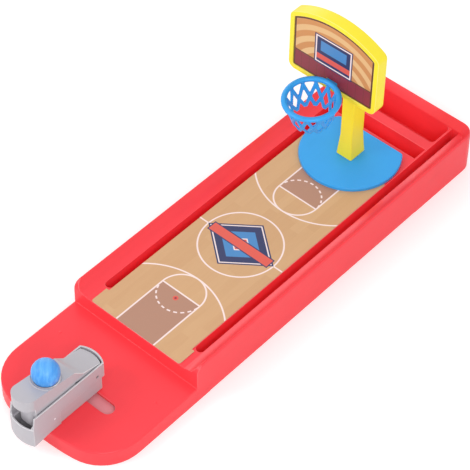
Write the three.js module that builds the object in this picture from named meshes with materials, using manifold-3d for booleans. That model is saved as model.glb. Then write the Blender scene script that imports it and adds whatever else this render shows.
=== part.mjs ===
// A tabletop basketball game with a finger lever, in millimetres, +Z up.
// The tray runs along Y, with the launcher at the -Y end and the hoop at the +Y end.
// Inside this file Y is counted from the riser, the step between the low platform and the raised court.

import * as THREE from "three";
import { mergeVertices } from "three/addons/utils/BufferGeometryUtils.js";
import Module from "manifold-3d";

const wasm = await Module();
wasm.setup();

// Clearances and the one overrun of every cut
const overrun = 2;
const gap = 0.3;
const seatGap = 0.1;
const pinGap = 0.1;

// Tray, plan sizes
const trayHalfWidth = 53.4;
const platformLength = 84.6;
const frontArcRadius = 170;
const frontCornerRadius = 31;
const rearCornerRadius = 11;
const deckLength = 237.4;
const troughWidth = 11.8;
const partitionThickness = 8.2;
const compartmentLength = 19.6;
const trayWall = 2;

// Tray, heights
const platformHeight = 12.6;
const platformEdgeRound = 1.2;
const deckHeight = 24;
const crestRise = 7.2;
const crestShoulder = 1.6;
const wallDraft = 0.35;
const crestInset = 1.1;
const rimInset = 1.5;
const rimSlopeRise = 1.6;
const rimSlopeInset = 5.4;
const wallEndRound = 6.5;
const skirtRelief = 0.4;
const skirtReliefStart = 11.5;
const skirtReliefEnd = 217.5;

// Side channels, rear trough and ball compartment
const channelMargin = 11.2;
const channelWidth = 6.2;
const channelStart = 15.4;
const channelDepth = 14;
const dividerWall = 1.5;
const compartmentCorner = 3;
const compartmentFloor = 2.2;

// Slot for the launcher
const slotWidth = 9.3;
const slotHalfLength = 27;
const slotSetback = 47.5;

// Court card
const cardThickness = 0.4;
const cardEar = 2;
const cardEarMargin = 1.4;
const cardTuck = 6;
const cardCorner = 1.5;
const cardMargin = 0.3;

// Stand base, a disc with a flat back
const standSetback = 26.4;
const discMargin = 0.65;
const discChord = 22.3;
const discCorner = 2.5;
const discThickness = 2.6;
const discEdgeRound = 0.8;
const pegRadius = 2.5;
const pegSpacing = 20;
const pegLength = 4.5;

// Post with its forward arm
const footHalfWidth = 6.5;
const footHalfDepth = 7.5;
const waistHalfWidth = 5;
const waistHalfDepth = 6.5;
const postEdgeRound = 1;
const flareHeight = 18;
const tenonShoulder = 1.2;
const armRise = 11.1;
const armHeight = 11;
const postCap = 2;

// Backboard
const boardSetback = 26.1;
const boardDepth = 9.5;
const boardHalfWidth = 35.9;
const boardRise = 74.7;
const boardHeight = 56.6;
const boardArchRadius = 65.5;
const boardCorner = 5;
const boardLip = 3.4;
const boardBackRound = 1.2;
const boardRecess = 1;
const boardWeb = 2;
const boardWall = 1.8;
const socketWall = 1.5;
const panelThickness = 0.4;

// Hoop and net, one moulding
const hoopRise = 6.2;
const hoopReach = 19.6;
const hoopDroop = 5.5;
const ringRadius = 17.6;
const ringRadial = 2;
const ringHalfHeight = 1.75;
const netCells = 12;
const netTopRadius = 16.6;
const netTabDrop = 5;
const netKnotRadius = 14.4;
const netKnotDrop = 12.9;
const netHemRadius = 12.2;
const netHemDrop = 19.2;
const netThickness = 1.3;
const netStrand = 2.5;
const tabHalfWidth = 4;
const tabHalfHeight = 0.9;
const tabDrop = 0.8;
const tabDepth = 2.5;

// Launcher housing
const housingHalfWidth = 10.25;
const housingWall = 1.1;
const housingHeight = 23.9;
const housingNearDrop = 9.7;
const housingNearMargin = 0.6;
const housingNearBow = 2.4;
const housingRimRun = 1.5;
const housingKeelDrop = 1.9;
const housingFloorThickness = 1.5;
const housingFarReach = 13.7;
const housingFarBow = 3.2;
const housingStepRise = 9.9;
const housingLowFarReach = 9;
const housingBandRise = 11.7;
const housingBandDepth = 0.85;
const housingLowWall = 1.4;

// Boss in the slot, and what holds it under the platform
const bossHalfLength = 6;
const bossDrop = 0.5;
const plateHalfLength = 28;
const plateHalfWidth = 8;
const plateThickness = 1.5;
const screwRadius = 1.3;
const screwHeadRadius = 3;
const screwHeadHeight = 1.6;
const screwLength = 12;
const columnRadius = 3;

// Lever, drawn as it rests: its near end stands up
const pinReach = 4.6;
const pinRise = 15.5;
const pinRadius = 1;
const pinEndMargin = 0.4;
const leverHalfWidth = 8.6;
const leverNearReach = 57.2;
const leverNearRound = 7.5;
const leverDeckRise = 20;
const leverDeckSlope = 0.1444;
const leverDeckThickness = 9;
const leverDeckEndReach = 16.7;
const leverDrop = 6.4;
const leverDropRun = 7;
const leverFarReach = 7;
const leverFarRise = 7.3;
const leverFarThickness = 5;
const leverFarBow = 2.4;
const leverBodyHalfWidth = 7.4;
const leverBodyMargin = 6.3;
const leverBodyDrop = 4.4;
const leverBodyCorner = 5;
const leverSkirtRise = 5.6;
const leverShell = 1.5;
const leverHubRadius = 3.4;

// Cup, ball and spring
const ballRadius = 9;
const ballReach = 31.9;
const ballSink = 3.4;
const cupWall = 1.5;
const cupRingRadius = 8.5;
const cupRingWidth = 1.1;
const cupRingHeight = 1;
const springWire = 0.8;
const springRadius = 3.1;
const springTurns = 6;
const springSeatDrop = 14.4;
const springSeatRadius = 3.6;
const springPinHeight = 3;

// Places worked out from the sizes above: the tray
const channelOuter = trayHalfWidth - channelMargin;
const channelInner = channelOuter - channelWidth;
const compartmentHalfWidth = channelInner - dividerWall;
const partitionStart = deckLength + troughWidth;
const compartmentStart = partitionStart + partitionThickness;
const compartmentEnd = compartmentStart + compartmentLength;
const trayRear = compartmentEnd + rimSlopeInset;
const crestHeight = deckHeight + crestRise;
const rimSlopeHeight = deckHeight + rimSlopeRise;
const channelFloor = deckHeight - channelDepth;
const channelBottom = channelFloor - trayWall;
const deckUnder = deckHeight - trayWall;
const platformUnder = platformHeight - trayWall;
const slotRadius = slotWidth / 2;

// Places of the card, the stand, the board and the hoop
const standCentre = deckLength - standSetback;
const cardEarHalfWidth = channelInner + cardEar;
const cardEarLength = channelStart - cardEarMargin;
const cardLength = standCentre - cardTuck;
const cardBottom = deckHeight + seatGap;
const cardTop = cardBottom + cardThickness;
const discRadius = channelInner - discMargin;
const discBottom = cardTop + seatGap;
const discTop = discBottom + discThickness;
const postBottom = discTop + seatGap;
const tenonHalfWidth = waistHalfWidth - tenonShoulder;
const tenonHalfDepth = waistHalfDepth - tenonShoulder;
const boardFront = standCentre - boardSetback;
const boardBack = boardFront + boardDepth;
const webFront = boardFront + boardRecess;
const webBack = webFront + boardWeb;
const boardBottom = discTop + boardRise;
const boardTop = boardBottom + boardHeight;
const armBottom = boardBottom + armRise;
const armTop = armBottom + armHeight;
const postTop = armTop + postCap;
const hoopHeight = boardBottom + hoopRise;
const hoopCentre = boardFront - hoopReach;
const droopAngle = THREE.MathUtils.degToRad(hoopDroop);
const tabHeight = hoopHeight + ringRadius * Math.sin(droopAngle) - tabDrop;

// Places of the launcher
const housingBottom = platformHeight + gap;
const housingFloor = housingBottom + housingFloorThickness;
const housingTop = housingBottom + housingHeight;
const housingNearRim = housingTop - housingNearDrop;
const housingKeel = housingBottom - housingKeelDrop;
const housingStepHeight = housingBottom + housingStepRise;
const housingBandTop = housingBottom + housingBandRise;
const housingFar = slotSetback - housingFarReach;
const housingLowFar = slotSetback - housingLowFarReach;
const pinSetback = slotSetback - pinReach;
const pinHeight = housingBottom + pinRise;
const leverNear = pinSetback + leverNearReach;
const leverFar = pinSetback - leverFarReach;
const leverDeckEnd = pinSetback + leverDeckEndReach;
const leverBodyNear = leverNear - leverBodyMargin;
const leverDeckHeight = pinHeight + leverDeckRise;
const leverFarHeight = pinHeight + leverFarRise;
const leverBodyBottom = pinHeight - leverBodyDrop;
const leverSkirtBottom = pinHeight + leverSkirtRise;
const ballSetback = pinSetback + ballReach;
const ballHeight = leverDeckHeight - ballSink + ballRadius;
const springSeatHeight = leverDeckHeight - springSeatDrop;
const housingNear = leverNear - housingNearMargin;
const housingBandStart = ballSetback;
const frontReach = Math.max(leverNear, platformLength);
const cupRadius = ballRadius + gap;
const bossBottom = platformUnder - bossDrop;
const plateTop = bossBottom - seatGap;
const plateBottom = plateTop - plateThickness;

// Colours and looks
const looks = {
  red: { color: 0xe8303a, roughness: 0.3, metalness: 0 },
  wood: { color: 0xdfb080, roughness: 0.5, metalness: 0 },
  blue: { color: 0x3f9ae4, roughness: 0.35, metalness: 0 },
  yellow: { color: 0xffd94a, roughness: 0.4, metalness: 0 },
  orange: { color: 0xf0a860, roughness: 0.5, metalness: 0 },
  grey: { color: 0xb9afb6, roughness: 0.5, metalness: 0 },
  steel: { color: 0xb4b6ba, roughness: 0.3, metalness: 1 },
};

// Points of an arc, both ends included, angles in degrees
function arc(cx, cy, radius, from, to, steps) {
  const points = [];
  for (let i = 0; i <= steps; i++) {
    const a = THREE.MathUtils.degToRad(from + ((to - from) * i) / steps);
    points.push([cx + radius * Math.cos(a), cy + radius * Math.sin(a)]);
  }
  return points;
}

// The same points mirrored across X = 0 and appended, for an outline drawn on its +X half
function mirrored(half) {
  const other = half
    .filter(([x]) => Math.abs(x) > 1e-9)
    .map(([x, y]) => [-x, y])
    .reverse();
  return [...half, ...other];
}

// A rectangle with rounded corners
function roundedRect(x0, x1, y0, y1, radius, steps) {
  return [
    ...arc(x1 - radius, y0 + radius, radius, -90, 0, steps),
    ...arc(x1 - radius, y1 - radius, radius, 0, 90, steps),
    ...arc(x0 + radius, y1 - radius, radius, 90, 180, steps),
    ...arc(x0 + radius, y0 + radius, radius, 180, 270, steps),
  ];
}

// The radius of an arc from its half chord and its bow
function bowRadius(halfChord, bow) {
  return (halfChord * halfChord + bow * bow) / (2 * bow);
}

// A closed body as a solid that can be joined and cut
function solid(geometry) {
  const g = geometry.clone();
  g.deleteAttribute("normal");
  g.deleteAttribute("uv");
  const merged = mergeVertices(g, 1e-4);
  return new wasm.Manifold(
    new wasm.Mesh({
      numProp: 3,
      vertProperties: new Float32Array(merged.attributes.position.array),
      triVerts: new Uint32Array(merged.index.array),
    }),
  );
}

// A solid as a geometry for a mesh
function geometryOf(body) {
  const mesh = body.getMesh();
  const g = new THREE.BufferGeometry();
  g.setAttribute("position", new THREE.BufferAttribute(new Float32Array(mesh.vertProperties), 3));
  g.setIndex(new THREE.BufferAttribute(new Uint32Array(mesh.triVerts), 1));
  g.computeVertexNormals();
  return g;
}

function shapeOf(points) {
  return new THREE.Shape(points.map(([x, y]) => new THREE.Vector2(x, y)));
}

// An outline in X and Y, raised from z0 to z1
function prism(points, z0, z1) {
  const g = new THREE.ExtrudeGeometry(shapeOf(points), { depth: z1 - z0, bevelEnabled: false });
  return solid(g.translate(0, 0, z0));
}

// An outline in Y and Z, run from x0 to x1
function sideProfile(points, x0, x1) {
  const g = new THREE.ExtrudeGeometry(shapeOf(points), { depth: x1 - x0, bevelEnabled: false });
  const turn = new THREE.Matrix4().makeBasis(
    new THREE.Vector3(0, 1, 0),
    new THREE.Vector3(0, 0, 1),
    new THREE.Vector3(1, 0, 0),
  );
  return solid(g.applyMatrix4(turn).translate(x0, 0, 0));
}

// An outline in X and Z, run from y0 to y1
function frontProfile(points, y0, y1) {
  const g = new THREE.ExtrudeGeometry(shapeOf(points), { depth: y1 - y0, bevelEnabled: false });
  const turn = new THREE.Matrix4().makeBasis(
    new THREE.Vector3(1, 0, 0),
    new THREE.Vector3(0, 0, 1),
    new THREE.Vector3(0, -1, 0),
  );
  return solid(g.applyMatrix4(turn).translate(0, y1, 0));
}

function box(x0, x1, y0, y1, z0, z1) {
  const g = new THREE.BoxGeometry(x1 - x0, y1 - y0, z1 - z0);
  return solid(g.translate((x0 + x1) / 2, (y0 + y1) / 2, (z0 + z1) / 2));
}

// An upright cylinder
function rod(x, y, z0, z1, radius, sides) {
  const g = new THREE.CylinderGeometry(radius, radius, z1 - z0, sides);
  return solid(g.rotateX(Math.PI / 2).translate(x, y, (z0 + z1) / 2));
}

// A cylinder along X
function crossRod(x0, x1, y, z, radius, sides) {
  const g = new THREE.CylinderGeometry(radius, radius, x1 - x0, sides);
  return solid(g.rotateZ(Math.PI / 2).translate((x0 + x1) / 2, y, z));
}

// A body through a pile of outlines that have the same number of points
function pile(layers) {
  const count = layers[0].points.length;
  const positions = [];
  const index = [];
  for (const layer of layers) {
    for (const [x, y] of layer.points) positions.push(x, y, layer.z);
  }
  for (let k = 0; k + 1 < layers.length; k++) {
    for (let i = 0; i < count; i++) {
      const a = k * count + i;
      const b = k * count + ((i + 1) % count);
      index.push(a, b, b + count, a, b + count, a + count);
    }
  }
  const flat = layers[0].points.map(([x, y]) => new THREE.Vector2(x, y));
  const top = (layers.length - 1) * count;
  for (const [a, b, c] of THREE.ShapeUtils.triangulateShape(flat, [])) {
    index.push(c, b, a, top + a, top + b, top + c);
  }
  const g = new THREE.BufferGeometry();
  g.setAttribute("position", new THREE.Float32BufferAttribute(positions, 3));
  g.setIndex(index);
  return solid(g);
}

function unite(bodies) {
  return bodies.reduce((a, b) => a.add(b));
}

function cutAll(body, cuts) {
  return cuts.reduce((a, b) => a.subtract(b), body);
}

// The whole tray's outline in plan, drawn in from its outside by an inset
function trayOutline(inset) {
  const cornerX = trayHalfWidth - frontCornerRadius;
  const arcCentre = frontArcRadius - platformLength;
  const rise = Math.sqrt((frontArcRadius - frontCornerRadius) ** 2 - cornerX ** 2);
  const lean = THREE.MathUtils.radToDeg(Math.atan2(cornerX, rise));
  const rearX = trayHalfWidth - rearCornerRadius;
  return mirrored([
    ...arc(0, arcCentre, frontArcRadius - inset, -90, -90 + lean, 6).slice(0, -1),
    ...arc(cornerX, arcCentre - rise, frontCornerRadius - inset, -90 + lean, 0, 10),
    ...arc(rearX, trayRear - rearCornerRadius, rearCornerRadius - inset, 0, 90, 7),
  ]);
}

// The court's outline in plan, straight across at its front
function courtOutline(inset, front) {
  const rearX = trayHalfWidth - rearCornerRadius;
  return mirrored([
    [trayHalfWidth - inset, front],
    ...arc(rearX, trayRear - rearCornerRadius, rearCornerRadius - inset, 0, 90, 7),
  ]);
}

function makeTray() {
  const platform = pile([
    { z: 0, points: trayOutline(0) },
    { z: platformHeight - platformEdgeRound, points: trayOutline(0) },
    { z: platformHeight - platformEdgeRound / 3, points: trayOutline(platformEdgeRound / 3) },
    { z: platformHeight, points: trayOutline(platformEdgeRound) },
  ]);
  const court = pile([
    { z: 0, points: courtOutline(0, 0) },
    { z: platformHeight, points: courtOutline(0, 0) },
    { z: crestHeight - crestShoulder, points: courtOutline(wallDraft, 0) },
    { z: crestHeight - crestShoulder / 4, points: courtOutline((wallDraft + crestInset) / 2, 0) },
    { z: crestHeight, points: courtOutline(crestInset, 0) },
  ]);
  const wallEnds = sideProfile(
    [
      [-overrun, crestHeight + overrun],
      [-overrun, crestHeight - wallEndRound],
      ...arc(wallEndRound, crestHeight - wallEndRound, wallEndRound, 180, 90, 6),
      [wallEndRound, crestHeight + overrun],
    ].reverse(),
    -trayHalfWidth - overrun,
    trayHalfWidth + overrun,
  );

  // The basin above the court: a steep rim, then a gentle slope down to the deck
  const slopeRun = (rimSlopeInset - rimInset) / (crestHeight - rimSlopeHeight);
  const basin = pile([
    { z: rimSlopeHeight, points: courtOutline(rimSlopeInset, -overrun) },
    { z: crestHeight + overrun, points: courtOutline(rimInset - slopeRun * overrun, -overrun) },
  ]);
  const rimX = trayHalfWidth - rimSlopeInset;
  const floorCut = frontProfile(
    [
      [-channelOuter, deckHeight],
      [channelOuter, deckHeight],
      [rimX, rimSlopeHeight],
      [rimX, rimSlopeHeight + overrun],
      [-rimX, rimSlopeHeight + overrun],
      [-rimX, rimSlopeHeight],
    ],
    -overrun,
    compartmentEnd,
  ).intersect(prism(courtOutline(rimSlopeInset, -overrun), 0, crestHeight));

  // Hollows open to the top
  const topZ = deckHeight + overrun;
  const channels = [1, -1].map((side) => {
    const inner = side * channelInner;
    const outer = side * channelOuter;
    const middle = (inner + outer) / 2;
    const round = channelWidth / 2;
    const start = channelStart + round;
    return unite([
      box(Math.min(inner, outer), Math.max(inner, outer), start, compartmentEnd, channelFloor, topZ),
      rod(middle, start, channelFloor, topZ, round, 24),
    ]);
  });
  const trough = box(
    -compartmentHalfWidth, compartmentHalfWidth,
    deckLength, partitionStart, channelFloor, topZ,
  );
  const compartment = prism(
    roundedRect(
      -compartmentHalfWidth, compartmentHalfWidth,
      compartmentStart, compartmentEnd, compartmentCorner, 4,
    ),
    compartmentFloor,
    topZ,
  );
  const slotX = slotHalfLength - slotRadius;
  const slot = prism(
    [
      ...arc(slotX, -slotSetback, slotRadius, -90, 90, 10),
      ...arc(-slotX, -slotSetback, slotRadius, 90, 270, 10),
    ],
    -overrun,
    platformHeight + overrun,
  );
  const pegHoles = [1, -1].map((side) =>
    rod(side * pegSpacing, standCentre, 0, topZ, pegRadius + gap, 20),
  );

  // Hollows open to the underside
  const innerOutline = prism(trayOutline(trayWall), -overrun, crestHeight);
  const sideX = channelOuter + trayWall;
  const deckX = channelInner - trayWall;
  const frontEnd = channelStart - trayWall;
  const blockX = channelInner;
  const low = box(-trayHalfWidth, trayHalfWidth, 0, trayRear, -overrun, channelBottom).subtract(
    box(
      -blockX, blockX,
      compartmentStart - trayWall, trayRear, -2 * overrun, channelBottom + overrun,
    ),
  );
  const underside = unite([
    box(-trayHalfWidth, trayHalfWidth, -platformLength, frontEnd, -overrun, platformUnder),
    low,
    box(-trayHalfWidth, trayHalfWidth, trayWall, frontEnd, -overrun, deckUnder),
    box(-deckX, deckX, trayWall, deckLength - trayWall, -overrun, deckUnder),
    box(sideX, trayHalfWidth, trayWall, trayRear, -overrun, deckUnder),
    box(-trayHalfWidth, -sideX, trayWall, trayRear, -overrun, deckUnder),
    box(
      -compartmentHalfWidth + trayWall, compartmentHalfWidth - trayWall,
      partitionStart + trayWall, compartmentStart - trayWall, -overrun, deckUnder,
    ),
  ]).intersect(innerOutline);
  const reliefs = [1, -1].map((side) => {
    const a = side * (trayHalfWidth - trayWall - overrun);
    const b = side * (trayHalfWidth + overrun);
    return box(
      Math.min(a, b), Math.max(a, b),
      skirtReliefStart, skirtReliefEnd, -overrun, skirtRelief,
    );
  });
  return cutAll(unite([platform, court]), [
    wallEnds, basin, floorCut, ...channels, trough, compartment, slot, ...pegHoles,
    underside, ...reliefs,
  ]);
}

function makeCourtCard() {
  const edge = channelInner - cardMargin;
  const half = [
    [cardEarHalfWidth - cardCorner, cardMargin],
    ...arc(cardEarHalfWidth - cardCorner, cardMargin + cardCorner, cardCorner, -90, 0, 3),
    [cardEarHalfWidth, cardEarLength],
    [edge, cardEarLength],
    ...arc(edge - cardCorner, cardLength - cardCorner, cardCorner, 0, 90, 3),
  ];
  return prism(mirrored(half.slice(1)), cardBottom, cardTop);
}

// The disc's outline, cut off straight at the back
function discOutline(inset) {
  const radius = discRadius - inset;
  const back = discChord - inset;
  const round = discCorner;
  const reach = radius - round;
  const cornerY = back - round;
  const cornerX = Math.sqrt(reach * reach - cornerY * cornerY);
  const lean = THREE.MathUtils.radToDeg(Math.atan2(cornerY, cornerX));
  return mirrored([
    ...arc(0, 0, radius, -90, lean, 18).slice(0, -1),
    ...arc(cornerX, cornerY, round, lean, 90, 4),
  ]).map(([x, y]) => [x, y + standCentre]);
}

function makeStandBase() {
  const plate = pile([
    { z: discBottom, points: discOutline(0) },
    { z: discTop - discEdgeRound, points: discOutline(0) },
    { z: discTop - discEdgeRound / 3, points: discOutline(discEdgeRound / 3) },
    { z: discTop, points: discOutline(discEdgeRound) },
  ]);
  const pegs = [1, -1].map((side) =>
    rod(
      side * pegSpacing, standCentre,
      discBottom - pegLength, discBottom + discThickness / 2, pegRadius, 20,
    ),
  );
  const mortise = box(
    -tenonHalfWidth - gap, tenonHalfWidth + gap,
    standCentre - tenonHalfDepth - gap, standCentre + tenonHalfDepth + gap,
    discBottom - overrun, discTop + overrun,
  );
  return unite([plate, ...pegs]).subtract(mortise);
}

function makeStandPost() {
  const section = (halfX, halfY) =>
    roundedRect(-halfX, halfX, standCentre - halfY, standCentre + halfY, postEdgeRound, 3);
  const shaft = pile([
    { z: postBottom, points: section(footHalfWidth, footHalfDepth) },
    { z: postBottom + flareHeight, points: section(waistHalfWidth, waistHalfDepth) },
    { z: postTop, points: section(waistHalfWidth, waistHalfDepth) },
  ]);
  const tenon = box(
    -tenonHalfWidth, tenonHalfWidth,
    standCentre - tenonHalfDepth, standCentre + tenonHalfDepth,
    discBottom + seatGap, postBottom + flareHeight / 2,
  );
  const arm = box(
    -waistHalfWidth, waistHalfWidth, webBack + gap, standCentre, armBottom, armTop,
  );
  return unite([shaft, tenon, arm]);
}

// The board's outline in X and Z: rounded lower corners, soft shoulders and an arched top
function boardOutline(inset) {
  const cornerX = boardHalfWidth - boardCorner;
  const radius = boardCorner - inset;
  const archCentre = boardTop - boardArchRadius;
  const rise = Math.sqrt((boardArchRadius - boardCorner) ** 2 - cornerX ** 2);
  const lean = THREE.MathUtils.radToDeg(Math.atan2(rise, cornerX));
  return mirrored([
    ...arc(cornerX, boardBottom + boardCorner, radius, -90, 0, 5),
    ...arc(cornerX, archCentre + rise, radius, 0, lean, 4),
    ...arc(0, archCentre, boardArchRadius - inset, lean, 90, 9).slice(1),
  ]);
}

// The arm's section and the tab's section, with a margin round them
function armSection(margin) {
  return [
    -waistHalfWidth - margin, waistHalfWidth + margin,
    armBottom - margin, armTop + margin,
  ];
}

function makeBackboardFrame() {
  const block = pile([
    { z: -boardBack, points: boardOutline(boardBackRound) },
    { z: -boardBack + boardBackRound / 3, points: boardOutline(boardBackRound / 3) },
    { z: -boardBack + boardBackRound, points: boardOutline(0) },
    { z: -boardFront, points: boardOutline(0) },
  ]).rotate([90, 0, 0]);
  const recess = frontProfile(boardOutline(boardLip), boardFront - overrun, webFront);
  const hollow = frontProfile(boardOutline(boardWall), webBack, boardBack + overrun);
  const [sx0, sx1, sz0, sz1] = armSection(gap + socketWall);
  const socket = box(sx0, sx1, webBack - boardWeb / 2, boardBack, sz0, sz1);
  const [ax0, ax1, az0, az1] = armSection(gap);
  const bore = box(ax0, ax1, webBack, boardBack + overrun, az0, az1);
  const tabSlot = box(
    -tabHalfWidth - gap, tabHalfWidth + gap, boardFront, webBack + overrun,
    tabHeight - tabHalfHeight - gap, tabHeight + tabHalfHeight + gap,
  );
  return cutAll(unite([cutAll(block, [recess, hollow]), socket]), [bore, tabSlot]);
}

function makeBackboardCard() {
  const back = webFront - seatGap;
  const card = frontProfile(boardOutline(boardLip + gap), back - panelThickness, back);
  const notch = box(
    -tabHalfWidth - 2 * gap, tabHalfWidth + 2 * gap,
    boardFront - overrun, webFront + overrun,
    boardBottom, tabHeight + tabHalfHeight + 2 * gap,
  );
  return card.subtract(notch);
}

// A ring turned about the hoop's axis, its section an ellipse, drawn about the hoop's centre
function makeRing() {
  const profile = [];
  const sides = 10;
  for (let i = 0; i <= sides; i++) {
    const a = (i / sides) * 2 * Math.PI;
    profile.push(
      new THREE.Vector2(ringRadius + ringRadial * Math.cos(a), ringHalfHeight * Math.sin(a)),
    );
  }
  const g = new THREE.LatheGeometry(profile, 40).rotateX(Math.PI / 2);
  return solid(g);
}

// The net: tabs under the ring, then strands that cross in knots and meet again in a zigzag hem
function makeNet() {
  const pieces = [];
  const pitch = (2 * Math.PI) / netCells;
  const tabFoot = { r: netTopRadius - netThickness / 4, z: -netTabDrop };
  const knot = { r: netKnotRadius, z: -netKnotDrop };
  const hem = { r: netHemRadius, z: -netHemDrop };
  for (let k = 0; k < netCells; k++) {
    const start = pitch * k;
    pieces.push(
      strip([{ a: start, r: netTopRadius, z: 0 }, { a: start, r: tabFoot.r, z: tabFoot.z }]),
    );
    for (const hand of [1, -1]) {
      pieces.push(
        strip([
          { a: start, r: tabFoot.r, z: tabFoot.z + netStrand },
          { a: start + hand * (pitch / 2), r: knot.r, z: knot.z },
          { a: start + hand * pitch, r: hem.r, z: hem.z },
        ]),
      );
    }
  }
  return unite(pieces);
}

// A flat strand through places on the cone, square in section
function strip(places) {
  const positions = [];
  const index = [];
  const point = (a, r, z) => [r * Math.cos(a), r * Math.sin(a), z];
  for (const { a, r, z } of places) {
    const half = netStrand / 2 / r;
    const inner = r - netThickness / 2;
    const outer = r + netThickness / 2;
    positions.push(...point(a - half, outer, z), ...point(a + half, outer, z));
    positions.push(...point(a + half, inner, z), ...point(a - half, inner, z));
  }
  for (let k = 0; k + 1 < places.length; k++) {
    for (let i = 0; i < 4; i++) {
      const a = 4 * k + i;
      const b = 4 * k + ((i + 1) % 4);
      index.push(a, b + 4, b, a, a + 4, b + 4);
    }
  }
  const last = 4 * (places.length - 1);
  index.push(0, 1, 2, 0, 2, 3, last, last + 2, last + 1, last, last + 3, last + 2);
  const g = new THREE.BufferGeometry();
  g.setAttribute("position", new THREE.Float32BufferAttribute(positions, 3));
  g.setIndex(index);
  return solid(g);
}

function makeHoop() {
  const cardFace = webFront - seatGap - panelThickness - gap;
  const behind = box(
    -boardHalfWidth, boardHalfWidth, cardFace, boardBack, hoopHeight - netHemDrop - overrun, boardTop,
  );
  const tab = box(
    -tabHalfWidth, tabHalfWidth,
    hoopCentre + ringRadius, webBack + tabDepth,
    tabHeight - tabHalfHeight, tabHeight + tabHalfHeight,
  );
  // Its near side hangs a little lower than the side at the board
  const hung = unite([makeRing(), makeNet()])
    .rotate([hoopDroop, 0, 0])
    .translate([0, hoopCentre, hoopHeight]);
  return unite([hung.subtract(behind), tab]);
}

// The housing's outline in plan, bowed at both ends
function housingOutline(inset) {
  const halfX = housingHalfWidth - inset;
  const nearY = -housingNear + inset;
  const farY = -housingFar - inset;
  const bow = (y, depth, sign) => {
    const radius = bowRadius(housingHalfWidth, depth);
    const sweep = THREE.MathUtils.radToDeg(Math.asin(halfX / radius));
    const centre = y - sign * radius;
    return arc(0, centre, radius, sign * 90 + sweep, sign * 90 - sweep, 8).map((p) => p);
  };
  const near = bow(nearY, housingNearBow, -1).reverse();
  const far = bow(farY, housingFarBow, 1).reverse();
  return [...near, ...far];
}

function makeHousing() {
  const halfX = housingHalfWidth;
  const clear = platformLength + gap;
  const rimStart = housingNear - housingNearBow;
  // Side view: a flat seat on the platform, a keel past its front edge, and a lower rim at the near end
  const side = sideProfile(
    [
      [-housingFar + overrun, housingStepHeight],
      [-housingFar + overrun, housingTop],
      [-rimStart + housingRimRun, housingTop],
      [-rimStart, housingNearRim],
      [-housingNear - overrun, housingNearRim],
      [-housingNear - overrun, housingKeel],
      [-housingNear, housingKeel],
      [-clear, housingBottom],
      [-housingLowFar, housingBottom],
      [-housingLowFar, housingStepHeight],
    ].reverse(),
    -halfX - overrun,
    halfX + overrun,
  );
  const body = prism(housingOutline(0), 0, housingTop + overrun).intersect(side);
  const upper = prism(housingOutline(housingWall), housingBandTop, housingTop + overrun);
  const lowInset = housingBandDepth + housingLowWall;
  const lower = prism(housingOutline(lowInset), housingFloor, housingBandTop + overrun).intersect(
    box(
      -halfX, halfX, -housingNear, -housingLowFar - housingLowWall,
      housingFloor, housingTop,
    ),
  );
  const bands = [1, -1].map((sideSign) => {
    const a = sideSign * (halfX - housingBandDepth);
    const b = sideSign * (halfX + overrun);
    return box(
      Math.min(a, b), Math.max(a, b), -housingBandStart, 0, 0, housingBandTop,
    );
  });
  const bossRadius = slotRadius - gap;
  const bossX = bossHalfLength - bossRadius;
  const boss = prism(
    [
      ...arc(bossX, -slotSetback, bossRadius, -90, 90, 8),
      ...arc(-bossX, -slotSetback, bossRadius, 90, 270, 8),
    ],
    bossBottom,
    housingFloor,
  );
  const columnTop = plateBottom + screwLength + gap;
  const column = rod(0, -slotSetback, bossBottom, columnTop + cupWall, columnRadius, 20);
  const springPin = rod(
    0, -ballSetback, housingBottom, housingFloor + springPinHeight,
    springRadius - springWire, 16,
  );
  const screwHole = rod(0, -slotSetback, 0, columnTop, screwRadius + pinGap, 16);
  const pinHole = crossRod(
    -halfX - overrun, halfX + overrun, -pinSetback, pinHeight, pinRadius + pinGap, 16,
  );
  return unite([cutAll(body, [upper, lower, ...bands]), boss, column, springPin])
    .subtract(screwHole)
    .subtract(pinHole);
}

// The lever's plan outline: a round near end and a bowed far end
function leverOutline(halfX, near, round, far, bow) {
  const radius = bowRadius(halfX, bow);
  const sweep = THREE.MathUtils.radToDeg(Math.asin(halfX / radius));
  const nearRound = arc(0, 0, 1, -90, 0, 8).map(([x, y]) => [x * halfX, -near + round + y * round]);
  return mirrored([
    ...nearRound,
    ...arc(0, -far - radius, radius, 90 - sweep, 90, 5),
  ]);
}

// The deck's height at a place along the lever
function deckAt(y) {
  return leverDeckHeight - leverDeckSlope * (y + ballSetback);
}

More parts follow.
